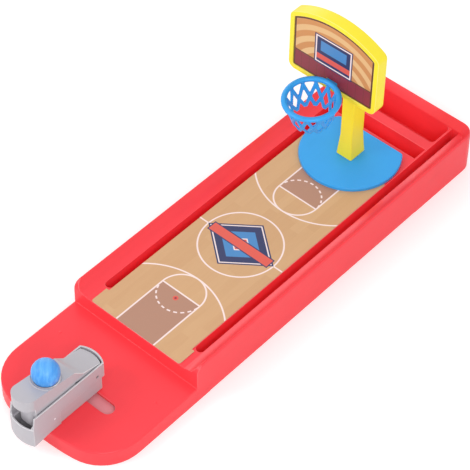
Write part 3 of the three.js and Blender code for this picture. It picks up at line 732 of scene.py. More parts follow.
@dataclass(frozen=True)
class GroovedBall(Finish):
    """Blue plastic with the upright streaks of the moulded ball."""

    colour: Colour = shade(66, 152, 234)
    light: Colour = shade(104, 184, 250)
    cloud_scale: float = 260.0
    cloud_sway: float = 3.0 * MM
    streak_scale: float = 620.0
    streak_stretch: float = 0.22
    streak_depth: float = 0.1 * MM

    def paint(self, bench: Bench) -> None:
        """Build the nodes.

        Args:
            bench: The material's bench.
        """
        place = bench.place()
        x, y, z = bench.parts(place)
        lean = math.radians(RIB_LEAN)
        along = x * math.cos(lean) + y * math.sin(lean)
        clouds = bench.noise(place, self.cloud_scale, 3.0)
        spot = {0: along + clouds * self.cloud_sway, 1: z * self.streak_stretch, 2: 0.0}
        streaks = bench.noise(bench.wire("ShaderNodeCombineXYZ", {}, spot), self.streak_scale, 3.0, 0.6)
        paler = streaks.ramp(0.38, 0.68) * 0.75 + (clouds - 0.5) * 0.3
        bench.plastic(
            Base_Color=bench.blend(paler, self.colour, self.light),
            Roughness=0.38 + (clouds - 0.5) * 0.14,
            Normal=bench.bump(streaks * 0.6 + clouds * 0.4, self.streak_depth, 0.5),
        )


@dataclass(frozen=True)
class TableTop(Finish):
    """A pale, matt floor that shows the object's shadow."""

    colour: Colour = (0.93, 0.93, 0.93, 1.0)
    lift: float = 0.26

    def paint(self, bench: Bench) -> None:
        """Build the nodes.

        Args:
            bench: The material's bench.
        """
        matt = bench.wire("ShaderNodeBsdfDiffuse", {}, {"Color": self.colour})
        glow = bench.wire("ShaderNodeEmission", {}, {"Color": WHITE, "Strength": self.lift})
        lifted = bench.wire("ShaderNodeAddShader", {}, {0: matt, 1: glow})
        seen = bench.wire("ShaderNodeLightPath", output="Is Camera Ray")
        bench.output(bench.wire("ShaderNodeMixShader", {}, {0: seen, 1: matt, 2: lifted}))


# Each finish's rounded edges are painted paler, towards white, by the share given after its colour: a painted
# highlight.
RED = MouldedPlastic("red_plastic", shade(254, 66, 76), roughness=0.3, edge_highlight=0.08, shine=0.3)
BLUE = MouldedPlastic("blue_plastic", shade(50, 164, 240), roughness=0.3, edge_highlight=0.3, shine=0.4)
YELLOW = MouldedPlastic("yellow_plastic", shade(255, 236, 56), roughness=0.34, edge_highlight=0.2, shine=0.3)
GREY = MouldedPlastic("grey_plastic", shade(186, 182, 188), 0.34, skin_depth=0.03 * MM, edge_highlight=0.42)
# The slider plate's pink stands in for red light bounced onto it from the tray: painted bounce light.
BOUNCE_PAINTED_PINK = MouldedPlastic("plate_painted_red_bounce", shade(232, 146, 154), roughness=0.4, edge_highlight=0.2)
# The gate mark's pale colour is a painted glint, the small white highlight on the bump; its low roughness
# makes it shiny.
GLINT_PAINTED_GREY = MouldedPlastic("polished_grey_painted_glint", shade(236, 230, 236), roughness=0.16)
STEEL = BrightSteel("bright_steel")
# The pin's steel is painted darker to stand for the shade inside its bore: painted shade.
PIN_PAINTED_SHADE = BrightSteel("pin_painted_shade_steel", shade(128, 124, 122), 0.42)
BALL_BLUE = GroovedBall("ball_plastic")


# Mesh tools


def new_piece(name: str, mesh: bpy.types.Mesh) -> bpy.types.Object:
    """Put a mesh into the scene as an object.

    Args:
        name: The name of both.
        mesh: The mesh.

    Returns:
        The object.
    """
    mesh.name = name
    piece = bpy.data.objects.new(name, mesh)
    bpy.context.scene.collection.objects.link(piece)
    return piece


def settle(piece: bpy.types.Object) -> bpy.types.Object:
    """Apply all the modifiers of a piece.

    Args:
        piece: The object with its modifiers.

    Returns:
        The same object with the finished mesh.
    """
    graph = bpy.context.evaluated_depsgraph_get()
    graph.update()
    done = bpy.data.meshes.new_from_object(piece.evaluated_get(graph), depsgraph=graph)
    piece.modifiers.clear()
    done.name = piece.name
    piece.data = done
    return piece


def smooth(mesh: bpy.types.Mesh, angle: float = 40.0) -> None:
    """Shade a mesh smoothly, apart from its sharp edges.

    Args:
        mesh: The mesh.
        angle: Edges sharper than this many degrees stay sharp.
    """
    bm = bmesh.new()
    bm.from_mesh(mesh)
    for face in bm.faces:
        face.smooth = True
    for edge in bm.edges:
        edge.smooth = edge.is_manifold and edge.calc_face_angle(0.0) < math.radians(angle)
    bm.to_mesh(mesh)
    bm.free()


def mesh_of(name: str, points: Sequence[Sequence[float]], faces: Sequence[Sequence[int]]) -> bpy.types.Mesh:
    """Make a mesh with every face turned outwards.

    Args:
        name: The mesh's name.
        points: Its points.
        faces: The points of each face, by their place in the list.

    Returns:
        The mesh.
    """
    mesh = bpy.data.meshes.new(name)
    mesh.from_pydata([tuple(p) for p in points], [], [tuple(f) for f in faces])
    bm = bmesh.new()
    bm.from_mesh(mesh)
    bmesh.ops.recalc_face_normals(bm, faces=bm.faces)
    bm.to_mesh(mesh)
    bm.free()
    return mesh


def turned(name: str, profile: Sequence[tuple[float, float]], place: Callable[[float, float, float], Point],
           sides: int = 64) -> bpy.types.Mesh:
    """Turn a closed profile round an axis.

    Args:
        name: The mesh's name.
        profile: Radius and height of each point. One that starts and ends on the axis is a solid
            rod, and any other is a ring.
        place: Gives a point from radius, angle and height.
        sides: Steps round the axis.

    Returns:
        The closed mesh.
    """
    points: list[Point] = []
    rings: list[list[int]] = []
    for radius, height in profile:
        if radius < TINY:
            rings.append([len(points)] * sides)
            points.append(place(0.0, 0.0, height))
            continue
        rings.append(list(range(len(points), len(points) + sides)))
        points.extend(place(radius, 2 * math.pi * i / sides, height) for i in range(sides))
    open_ends = profile[0][0] < TINY
    pairs = list(zip(rings, rings[1:])) + ([] if open_ends else [(rings[-1], rings[0])])
    faces: list[tuple[int, ...]] = []
    for low, high in pairs:
        for i in range(sides):
            j = (i + 1) % sides
            corners = dict.fromkeys((low[i], low[j], high[j], high[i]))
            faces.append(tuple(corners))
    return mesh_of(name, points, faces)


def middle_of(node: str) -> Vector:
    """Give the middle of a CAD node's box."""
    low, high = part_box(node)
    return (low + high) / 2


def around(node: str, along: Axis, reach: float) -> Callable[[Vector], bool]:
    """Make a test for places near a line that runs through a CAD node's middle.

    Args:
        node: The CAD node.
        along: The line's direction.
        reach: How far from the line a place may lie, in metres.

    Returns:
        The test.
    """
    middle = middle_of(node)
    first, second = (axis.value for axis in Axis if axis is not along)

    def near(place: Vector) -> bool:
        """Tell whether a place lies near the line."""
        return math.hypot(place[first] - middle[first], place[second] - middle[second]) < reach

    return near


def keep_outer_edges(mesh: bpy.types.Mesh, bend_out: float = 0.05) -> None:
    """Leave the edge material, with its painted highlight, only on roundings that stand out, and take it off
    those in corners.

    Args:
        mesh: The rounded mesh.
        bend_out: The bend in radians over a face's edges from which it stands out.
    """
    bm = bmesh.new()
    bm.from_mesh(mesh)
    for face in bm.faces:
        if face.material_index:
            bend = sum(edge.calc_face_angle_signed(0.0) for edge in face.edges)
            face.material_index = 1 if bend > bend_out else 0
    bm.to_mesh(mesh)
    bm.free()


def hold_to_solid(mesh: bpy.types.Mesh, solid: bpy.types.Mesh, reach: float) -> int:
    """Put points that strayed from a solid's surface back onto it.

    Args:
        mesh: The rounded mesh.
        solid: The CAD mesh that it came from.
        reach: How far a rounding may lie from the surface, in metres.

    Returns:
        How many points were put back.
    """
    faces = [tuple(polygon.vertices) for polygon in solid.polygons]
    tree = BVHTree.FromPolygons([vertex.co for vertex in solid.vertices], faces)
    held = 0
    for vertex in mesh.vertices:
        nearest, _, _, distance = tree.find_nearest(vertex.co)
        if distance > reach:
            vertex.co = nearest
            held += 1
    return held


def number_flats(bm: bmesh.types.BMesh, slack: float = SLIVER) -> None:
    """Give the faces of each flat side one number in a layer named flat, from 1 up.

    Args:
        bm: The mesh.
        slack: How far a point may lie off the side's plane.
    """
    number = bm.faces.layers.int.new("flat")
    count = 0
    for seed in sorted(bm.faces, key=lambda face: -face.calc_area()):
        if seed[number]:
            continue
        count += 1
        seed[number] = count
        normal, start = seed.normal.copy(), seed.verts[0].co.copy()
        heap = [seed]
        while heap:
            for face in [near for edge in heap.pop().edges for near in edge.link_faces]:
                if not face[number] and all(abs((v.co - start).dot(normal)) < slack for v in face.verts):
                    face[number] = count
                    heap.append(face)


def lies_within(spot: Vector, sides: Sequence[tuple[Vector, Vector]]) -> bool:
    """Tell whether a point lies inside an outline that may have holes.

    Args:
        spot: The point.
        sides: The two ends of each side of the outline and of its holes.

    Returns:
        Whether a line from the point crosses an odd number of sides.
    """
    crossed = 0
    for a, b in sides:
        if (a.y > spot.y) != (b.y > spot.y) and spot.x < a.x + (spot.y - a.y) * (b.x - a.x) / (b.y - a.y):
            crossed += 1
    return crossed % 2 == 1


def fill_outline(points: Sequence[Vector], rim: Sequence[tuple[int, int]],
                 slack: float = 0.002) -> list[tuple[int, ...]] | None:
    """Fill a flat outline that may have holes with triangles.

    Args:
        points: The outline's points, in its plane and in millimetres.
        rim: The two ends of each side, with the inside to its left.
        slack: The share by which the triangles' area may differ from the outline's.

    Returns:
        The triangles, or None where the outline crosses itself.
    """
    area = sum(points[a].x * points[b].y - points[b].x * points[a].y for a, b in rim) / 2
    spots, _, faces, sources, _, _ = delaunay_2d_cdt(points, rim, [], FILL_INSIDE, FILL_SLACK)
    sides = [(points[a], points[b]) for a, b in rim]
    middles = [sum((spots[i] for i in face), Vector((0, 0))) / 3 for face in faces]
    kept = [face for face, middle in zip(faces, middles) if lies_within(middle, sides)]
    covered = sum((spots[b] - spots[a]).cross(spots[c] - spots[a]) for a, b, c in kept) / 2
    simple = len(spots) == len(points) and all(len(source) == 1 for source in sources)
    if not simple or abs(covered - area) > slack * area:
        return None
    return [tuple(sources[i][0] for i in face) for face in kept]


def refill_flats(mesh: bpy.types.Mesh) -> set[int]:
    """Fill each numbered flat side anew from its outline, where the new faces cover the same area.

    Args:
        mesh: The rounded mesh.

    Returns:
        The numbers of the sides that were left, because their outline crosses itself.
    """
    bm = bmesh.new()
    bm.from_mesh(mesh)
    number = bm.faces.layers.int["flat"]
    groups: dict[int, list[bmesh.types.BMFace]] = {}
    for face in bm.faces:
        if face.material_index == 0 and face[number]:
            groups.setdefault(face[number], []).append(face)
    crossed: set[int] = set()
    for key, faces in groups.items():
        inside = set(faces)
        loops = [loop for face in faces for loop in face.loops
                 if not any(other in inside for other in loop.edge.link_faces if other is not face)]
        normal = sum((face.normal * face.calc_area() for face in faces), Vector()).normalized()
        if len(faces) < 2 or normal.length < TINY:
            continue
        across = normal.orthogonal().normalized()
        up = normal.cross(across)
        corners = list(dict.fromkeys(v for loop in loops for v in loop.edge.verts))
        flat = [Vector((v.co.dot(across), v.co.dot(up))) / MM for v in corners]
        index = {vertex: i for i, vertex in enumerate(corners)}
        rim = [(index[loop.vert], index[loop.link_loop_next.vert]) for loop in loops]
        triangles = fill_outline(flat, rim)
        if triangles is None:
            crossed.add(key)
            continue
        bmesh.ops.delete(bm, geom=faces, context="FACES")
        for triangle in triangles:
            bm.faces.new([corners[i] for i in triangle])
    bm.normal_update()
    bm.to_mesh(mesh)
    bm.free()
    return crossed


def narrow_edges(mesh: bpy.types.Mesh, sides: set[int], least: float = 0.3) -> None:
    """Halve the rounding of the edges round some flat sides, and leave it out where it gets too small.

    Args:
        mesh: The mesh with its marked edges.
        sides: The numbers of the sides.
        least: The share of the full width at which an edge is left sharp.
    """
    bm = bmesh.new()
    bm.from_mesh(mesh)
    number = bm.faces.layers.int["flat"]
    weight = bm.edges.layers.float["bevel_weight_edge"]
    for edge in bm.edges:
        if any(face[number] in sides for face in edge.link_faces):
            edge[weight] = edge[weight] / 2 if edge[weight] > least else 0.0
    bm.to_mesh(mesh)
    bm.free()


def mark_edges(bm: bmesh.types.BMesh, angle: float, kept_sharp: Callable[[Vector], bool] | None) -> None:
    """Mark the edges that a rounding takes.

    Args:
        bm: The mesh, in triangles.
        angle: Only edges sharper than this many degrees are marked.
        kept_sharp: Tells whether an edge at a place stays sharp, such as the rim of a small bore.
    """
    weight = bm.edges.layers.float.new("bevel_weight_edge")
    for edge in bm.edges:
        bent = edge.is_manifold and edge.calc_face_angle(0.0) > math.radians(angle)
        left = kept_sharp is not None and all(kept_sharp(vertex.co) for vertex in edge.verts)
        edge[weight] = 1.0 if bent and not left else 0.0


def round_marked(piece: bpy.types.Object, width: float) -> None:
    """Round the marked edges of a piece, with its second material on the roundings.

    Args:
        piece: The piece.
        width: The rounding's width in metres.
    """
    bevel = piece.modifiers.new("round", "BEVEL")
    bevel.width = width
    bevel.segments = ROUNDING_STEPS
    bevel.limit_method = "WEIGHT"
    bevel.use_clamp_overlap = False
    bevel.material = 1
    settle(piece)


def rounded_copy(node: str, name: str, width: float, angle: float = 50.0,
                 kept_sharp: Callable[[Vector], bool] | None = None) -> bpy.types.Object:
    """Copy a CAD node and round its sharp edges.

    Args:
        node: The CAD node.
        name: The new piece's name.
        width: The rounding's width in metres.
        angle: Only edges sharper than this many degrees are rounded.
        kept_sharp: Tells whether an edge at a place stays sharp.

    Returns:
        The new piece, which stands for the node.
    """
    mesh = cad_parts[node].data.copy()
    bm = bmesh.new()
    bm.from_mesh(mesh)
    bmesh.ops.remove_doubles(bm, verts=bm.verts, dist=WELD)
    bmesh.ops.dissolve_degenerate(bm, edges=bm.edges, dist=SLIVER)
    number_flats(bm)
    mark_edges(bm, angle, kept_sharp)
    bm.to_mesh(mesh)
    bm.free()
    mesh.materials.clear()
    for _ in range(2):
        mesh.materials.append(None)
    piece = new_piece(name, mesh)
    for _ in range(ROUNDING_TRIES):
        piece.data = mesh.copy()
        round_marked(piece, width)
        crossed = refill_flats(piece.data)
        if not crossed:
            break
        narrow_edges(mesh, crossed)
    held = hold_to_solid(piece.data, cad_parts[node].data, ROUNDING_REACH * width)
    LOG.info("%s: %d flats cross, %d points put back", name, len(crossed), held)
    smooth(piece.data)
    keep_outer_edges(piece.data)
    weighted = piece.modifiers.new("faces", "WEIGHTED_NORMAL")
    weighted.keep_sharp = True
    settle(piece)
    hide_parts(node)
    return piece


def swept(name: str, path: Sequence[Vector], radius: float, sides: int = 16) -> bpy.types.Mesh:
    """Sweep a round section along a path, with rounded ends.

    Args:
        name: The mesh's name.
        path: The middle line's points, in order.
        radius: The section's radius.
        sides: Steps round the section.

    Returns:
        The closed mesh.
    """
    points: list[Vector] = []
    faces: list[tuple[int, ...]] = []
    across = (path[1] - path[0]).orthogonal().normalized()
    stations: list[tuple[Vector, Vector, float]] = []
    for i, place in enumerate(path):
        ahead = (path[min(i + 1, len(path) - 1)] - path[max(i - 1, 0)]).normalized()
        stations.append((place, ahead, 1.0))
    first, last = stations[0], stations[-1]
    caps = [(math.cos(math.radians(angle)), math.sin(math.radians(angle))) for angle in CAP_ANGLES]
    head = [(first[0] - first[1] * radius * rise, first[1], wide) for wide, rise in caps]
    tail = [(last[0] + last[1] * radius * rise, last[1], wide) for wide, rise in reversed(caps)]
    for place, ahead, wide in head + stations + tail:
        across = (across - ahead * across.dot(ahead)).normalized()
        side = ahead.cross(across)
        for k in range(sides):
            turn = 2 * math.pi * k / sides
            points.append(place + (across * math.cos(turn) + side * math.sin(turn)) * (radius * wide))
    count = len(points) // sides
    for i in range(count - 1):
        for k in range(sides):
            j = (k + 1) % sides
            faces.append((i * sides + k, i * sides + j, (i + 1) * sides + j, (i + 1) * sides + k))
    faces.append(tuple(range(sides)))
    faces.append(tuple((count - 1) * sides + k for k in range(sides)))
    return mesh_of(name, points, faces)


def joined(name: str, meshes: Sequence[bpy.types.Mesh]) -> bpy.types.Mesh:
    """Join meshes into one, and remove them.

    Args:
        name: The new mesh's name.
        meshes: The meshes.

    Returns:
        The new mesh.
    """
    bm = bmesh.new()
    for mesh in meshes:
        bm.from_mesh(mesh)
        bpy.data.meshes.remove(mesh)
    whole = bpy.data.meshes.new(name)
    bm.to_mesh(whole)
    bm.free()
    return whole


def recast_copy(node: str, name: str, grain: float, rounds: int, angle: float = 70.0) -> bpy.types.Object:
    """Copy a CAD node and cast it anew as one skin with soft fillets where its strands meet.

    Args:
        node: The CAD node.
        name: The new piece's name.
        grain: The size of the new skin's faces in metres.
        rounds: How often the skin is smoothed.
        angle: Edges sharper than this many degrees stay sharp.

    Returns:
        The new piece, which stands for the node.
    """
    piece = new_piece(name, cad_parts[node].data.copy())
    remesh = piece.modifiers.new("cast", "REMESH")
    remesh.mode = "VOXEL"
    remesh.voxel_size = grain
    soften = piece.modifiers.new("soften", "SMOOTH")
    soften.factor = 0.5
    soften.iterations = rounds
    settle(piece)
    smooth(piece.data, angle)
    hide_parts(node)
    return piece


@dataclass
class SubAssembly:
    """A group of pieces that ride on one body."""

    body: Body = Body.GAME

    def keep(self, piece: bpy.types.Object, finish: Finish, slot: Slot, *nodes: str) -> bpy.types.Object:
        """Dress a piece, let it ride, and hide the CAD nodes that it stands for.

        Args:
            piece: The finished piece.
            finish: Its material.
            slot: The record's slot that the finish belongs to; not used.
            nodes: CAD nodes that it replaces.

        Returns:
            The same piece.
        """
        finish.dress(piece)
        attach(piece, self.body.value)
        if nodes:
            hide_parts(*nodes)
        LOG.info("%s: %d faces, %s", piece.name, len(piece.data.polygons), finish.name)
        return piece

    def dress_node(self, node: str, finish: Finish) -> None:
        """Dress a CAD node that stays as it is."""
        finish.dress(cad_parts[node])
        LOG.info("%s: the solid itself, %s", node, finish.name)

    def build(self) -> None:
        """Make the pieces."""
        raise NotImplementedError


@dataclass
class Tray(SubAssembly):
    """The red tray: a low platform, the raised court, its channels and the ball compartment."""

    edge: float = 0.34 * MM
    sharp: float = 58.0
    platform: float = 12.6 * MM
    pip_radius: float = 1.1 * MM
    pip_rise: float = 0.35 * MM
    pip_x: float = 41.5 * MM
    pip_y: float = -116.15 * MM

    def build(self) -> None:
        """Make the pieces."""
        tray = rounded_copy("tray", "game_tray", self.edge, self.sharp)
        # Nothing of the rounded lower edge goes below the table.
        for vertex in tray.data.vertices:
            vertex.co.z = max(vertex.co.z, 0.0)
        self.keep(tray, RED, Slot.RED)
        pips = joined("platform_pips", [self.pip(side * self.pip_x) for side in (-1, 1)])
        smooth(pips)
        self.keep(new_piece("platform_pips", pips), RED, Slot.RED)

    def pip(self, x: float) -> bpy.types.Mesh:
        """Make one of the two small domes that the mould leaves on the platform.

        Args:
            x: Where its middle is across the platform.

        Returns:
            The dome's mesh.
        """
        profile = [(0.0, -self.pip_rise)]
        profile += [
            (self.pip_radius * math.cos(math.radians(a)), self.pip_rise * math.sin(math.radians(a)))
            for a in (-30, 0, 15, 30, 45, 60, 75)
        ]
        profile.append((0.0, self.pip_rise))
        return turned("pip", profile, lambda r, a, h: (
            x + r * math.cos(a), self.pip_y + r * math.sin(a), self.platform + h), sides=24)


@dataclass
class Court(SubAssembly):
    """The printed card on the deck."""

    def build(self) -> None:
        """Dress the card where it lies."""
        self.dress_node("court_card", CourtPrint("court_print"))


@dataclass
class Stand(SubAssembly):
    """The blue foot and the yellow post with its arm."""

    foot_edge: float = 0.6 * MM
    post_edge: float = 0.5 * MM
    post_sharp: float = 70.0

    def build(self) -> None:
        """Make the pieces."""
        self.keep(rounded_copy("stand_base", "stand_foot", self.foot_edge), BLUE, Slot.BLUE)
        post = rounded_copy("stand_post", "post_and_arm", self.post_edge, self.post_sharp)
        self.keep(post, YELLOW, Slot.YELLOW)


@dataclass
class Backboard(SubAssembly):
    """The yellow frame and its printed card."""

    edge: float = 0.45 * MM

    def build(self) -> None:
        """Make the pieces."""
        self.keep(rounded_copy("backboard_frame", "board_frame", self.edge), YELLOW, Slot.YELLOW)
        middle, half = middle_of("backboard_card"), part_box("backboard_card")[1]
        self.dress_node("backboard_card", PanelPrint("panel_print", middle_z=middle.z, half_width=half.x))


@dataclass
class Hoop(SubAssembly):
    """The blue ring and its moulded net, one piece that hangs a little low at its near side."""

    grain: float = 0.3 * MM
    rounds: int = 4

    def build(self) -> None:
        """Make the pieces."""
        self.keep(recast_copy("hoop_net", "ring_and_net", self.grain, self.rounds), BLUE, Slot.BLUE)


@dataclass
class Launcher(SubAssembly):
    """The grey slider with its pin, return spring, plate and screw."""

    body: Body = Body.CARRIAGE
    edge: float = 0.3 * MM
    bore_reach: float = 1.7 * MM
    pin_radius: float = 1.0 * MM
    pin_chamfer: float = 0.3 * MM
    wire: float = 0.4 * MM
    turns: float = 6.0
    steps: int = 28
    closed_part: float = 0.14
    spring_keep: float = 0.69
    shank: float = 1.3 * MM
    head: float = 3.0 * MM
    head_height: float = 1.6 * MM
    head_chamfer: float = 0.15 * MM
    head_dome: tuple[tuple[float, float], ...] = ((0.6, 0.05 * MM), (0.86, 0.35 * MM), (1.0, 0.9 * MM))
    tip: float = 0.3 * MM
    thread: float = 0.16 * MM
    thread_pitch: float = 0.9 * MM
    thread_end: float = 1.6
    cross_reach: float = 1.7 * MM
    cross_half: float = 0.38 * MM
    cross_depth: float = 0.9 * MM
    cross_start: float = 0.5 * MM
    cross_taper: float = 0.7
    mark_place: Point = (10.25 * MM, -170.8 * MM, 22.2 * MM)
    mark_radius: float = 0.7 * MM
    mark_dome: tuple[tuple[float, float], ...] = (
        (0.0, -0.5), (1.0, -0.25), (1.0, 0.0), (0.8, 0.3), (0.4, 0.45), (0.0, 0.5),
    )

    def build(self) -> None:
        """Make the pieces."""
        at_pin = around("pivot_pin", Axis.X, self.bore_reach)
        housing = rounded_copy("launcher_housing", "slider_housing", self.edge, kept_sharp=at_pin)
        self.keep(housing, GREY, Slot.GREY)
        # The gate mark is painted pale as a glint.
        self.keep(self.gate_mark(), GLINT_PAINTED_GREY, Slot.GREY)
        # The plate's pink colour is painted red bounce light from the tray.
        self.keep(rounded_copy("retaining_plate", "slider_plate", self.edge), BOUNCE_PAINTED_PINK, Slot.GREY)
        # The pin's dark colour is painted shade in its bore.
        self.keep(self.pin(), PIN_PAINTED_SHADE, Slot.STEEL, "pivot_pin")
        spring = self.keep(self.spring(), STEEL, Slot.STEEL, "launcher_spring")
        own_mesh(spring)
        self.keep(self.screw(), STEEL, Slot.STEEL, "retaining_screw")

    def gate_mark(self) -> bpy.types.Object:
        """Make the small shiny bump that the mould's gate leaves on the slider's right side, painted pale as
        a glint.

        Returns:
            The new piece.
        """
        x, y, z = self.mark_place
        profile = [(self.mark_radius * out, self.mark_radius * rise) for out, rise in self.mark_dome]
        mesh = turned("gate_mark", profile, lambda r, a, h: (
            x + h, y + r * math.cos(a), z + r * math.sin(a)), sides=20)
        smooth(mesh, angle=60.0)
        return new_piece("gate_mark", mesh)

    def pin(self) -> bpy.types.Object:
        """Turn the pivot pin with chamfered ends, along X.

        Returns:
            The new piece.
        """
        middle = middle_of("pivot_pin")
        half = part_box("pivot_pin")[1].x
        small = self.pin_radius - self.pin_chamfer
        profile = [(0.0, -half), (small, -half), (self.pin_radius, -half + self.pin_chamfer),
                   (self.pin_radius, half - self.pin_chamfer), (small, half), (0.0, half)]
        mesh = turned("lever_pin", profile, lambda r, a, h: (
            h, middle.y + r * math.cos(a), middle.z + r * math.sin(a)), sides=32)
        smooth(mesh)
        return new_piece("lever_pin", mesh)

    def spring(self) -> bpy.types.Object:
        """Wind the return spring, its two end turns closed.

        Returns:
            The new piece.
        """
        low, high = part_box("launcher_spring")
        middle = middle_of("launcher_spring")
        radius = high.x - self.wire
        bottom, top = low.z + self.wire, high.z - self.wire
        count = round(self.turns * self.steps)
        path = []
        for i in range(count + 1):
            share = i / count
            turn = 2 * math.pi * self.turns * share
            rise = min(max((share - self.closed_part) / (1 - 2 * self.closed_part), 0.0), 1.0)
            flat = 2 * self.wire * min(share, self.closed_part) / self.closed_part
            last = 2 * self.wire * max(share - 1 + self.closed_part, 0.0) / self.closed_part
            climb = (top - bottom - 4 * self.wire) * rise + flat + last
            path.append(Vector((radius * math.cos(turn), middle.y + radius * math.sin(turn), bottom + climb)))
        mesh = swept("return_spring", path, self.wire, sides=12)
        smooth(mesh, angle=60.0)
        return new_piece("return_spring", mesh)

    def screw(self) -> bpy.types.Object:
        """Turn the screw with a domed head below, a threaded shank and a cross recess.

        Returns:
            The new piece.
        """
        low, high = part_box("retaining_screw")
        middle = middle_of("retaining_screw")
        head_top = low.z + self.head_height
        profile = [(0.0, low.z)]
        profile += [(self.head * share, low.z + rise) for share, rise in self.head_dome]
        profile += [(self.head, head_top - self.head_chamfer), (self.head - self.head_chamfer, head_top),
                    (self.shank, head_top)]
        z = head_top + self.thread_pitch
        core = self.shank - self.thread
        while z < high.z - self.thread_end * self.thread_pitch:
            profile += [(core, z), (self.shank, z + self.thread_pitch / 2)]
            z += self.thread_pitch
        profile += [(core, z), (self.tip, high.z), (0.0, high.z)]
        mesh = turned("slider_screw", profile, lambda r, a, h: (
            middle.x + r * math.cos(a), middle.y + r * math.sin(a), h), sides=40)
        screw = new_piece("slider_screw", mesh)
        cutter = new_piece("cross_cutter", self.cross(middle, low.z))
        cut = screw.modifiers.new("recess", "BOOLEAN")
        cut.operation = "DIFFERENCE"
        cut.solver = "EXACT"
        cut.object = cutter
        settle(screw)
        bpy.data.objects.remove(cutter)
        smooth(screw.data, angle=30.0)
        return screw

    def cross(self, middle: Vector, bottom: float) -> bpy.types.Mesh:
        """Make the tapered cross that is cut out of the screw's head.

        Args:
            middle: The middle of the screw.
            bottom: The height of the head's lowest point.

        Returns:
            The cross's mesh.
        """
        wide, reach, taper = self.cross_half, self.cross_reach, self.cross_taper
        corner = [(wide, wide), (wide, reach), (-wide, reach)]
        outline = []
        for _ in range(4):
            outline += corner
            corner = [(-y, x) for x, y in corner]
        points = [(middle.x + x, middle.y + y, bottom - self.cross_start) for x, y in outline]
        tip = bottom + self.cross_depth
        points += [(middle.x + x * taper, middle.y + y * taper, tip) for x, y in outline]
        count = len(outline)
        faces: list[tuple[int, ...]] = [tuple(range(count)), tuple(range(count, 2 * count))]
        faces += [(i, (i + 1) % count, count + (i + 1) % count, count + i) for i in range(count)]
        return mesh_of("cross_cutter", points, faces)


@dataclass
class Lever(SubAssembly):
    """The finger lever with the cup for the ball."""

    body: Body = Body.LEVER
    edge: float = 0.34 * MM
    bore_reach: float = 1.7 * MM
    cup_reach: float = 8.5 * MM
    rim_radius: float = 9.7 * MM
    rim_bead: float = 0.5 * MM
    deck_slope: float = 0.1444
    deck_height: float = 48.4 * MM
    arc_half: float = 55.0
    half_steps: int = 16

    def build(self) -> None:
        """Make the pieces. The deck is narrow beside the cup, so the cup's rim stays sharp."""
        at_pin = around("pivot_pin", Axis.X, self.bore_reach)
        at_cup = around("ball", Axis.Z, self.cup_reach)
        lever = rounded_copy("launcher_lever", "finger_lever", self.edge,
                             kept_sharp=lambda place: at_pin(place) or at_cup(place))
        self.keep(lever, GREY, Slot.GREY)
        rim = joined("cup_rim", [self.bead(turn) for turn in (-90.0, 90.0)])
        smooth(rim, angle=60.0)
        self.keep(new_piece("cup_rim", rim), GREY, Slot.GREY)

    def bead(self, turn: float) -> bpy.types.Mesh:
        """Lay one arc of the bead round the cup on the sloping deck.

        Args:
            turn: The direction of the arc's middle, in degrees from +X.

        Returns:
            The bead's mesh.
        """
        middle = middle_of("ball")
        path = []
        for i in range(2 * self.half_steps + 1):
            angle = math.radians(turn + self.arc_half * (i / self.half_steps - 1))
            x, y = self.rim_radius * math.cos(angle), self.rim_radius * math.sin(angle)
            path.append(Vector((middle.x + x, middle.y + y, self.deck_height - self.deck_slope * y)))
        return swept("bead", path, self.rim_bead)


@dataclass
class Ball(SubAssembly):
    """The loose ball, with shallow upright ribs."""

    body: Body = Body.BALL
    rings: int = 96
    sides: int = 128
    rib: float = 2.1 * MM
    rib_depth: float = 0.13 * MM
    rib_shape: float = 1.6
    slow_sway: float = 0.9 * MM
    slow_rise: float = 5.2 * MM
    slow_run: float = 6.0 * MM
    quick_sway: float = 0.6 * MM
    quick_run: float = 2.3 * MM

    def build(self) -> None:
        """Make the pieces."""
        centre = middle_of("ball")
        low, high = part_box("ball")
        radius = (high.z - low.z) / 2
        profile = [
            (radius * math.sin(math.pi * i / self.rings), -radius * math.cos(math.pi * i / self.rings))
            for i in range(self.rings + 1)
        ]
        profile[0] = (0.0, -radius)
        profile[-1] = (0.0, radius)
        mesh = turned("small_ball", profile, lambda r, a, h: (
            r * math.cos(a), r * math.sin(a), h), sides=self.sides)
        for vertex in mesh.vertices:
            out = vertex.co.normalized()
            vertex.co = centre + out * (radius - self.rib_depth * self.groove(out * radius))
        smooth(mesh, angle=80.0)
        self.keep(new_piece("small_ball", mesh), BALL_BLUE, Slot.BALL_BLUE, "ball")

    def groove(self, place: Vector) -> float:
        """Give how deep the surface lies at a place on the ball.

        Args:
            place: The place, seen from the ball's centre.

        Returns:
            From 0 on a rib to 1 between ribs.
        """
        lean = math.radians(RIB_LEAN)
        along = place.x * math.cos(lean) + place.y * math.sin(lean)
        slow = self.slow_sway * math.sin(place.z / self.slow_rise + along / self.slow_run)
        quick = self.quick_sway * math.sin(along / self.quick_run)
        wave = math.cos(math.pi * (along + slow + quick) / self.rib)
        return (1 - abs(wave)) ** self.rib_shape


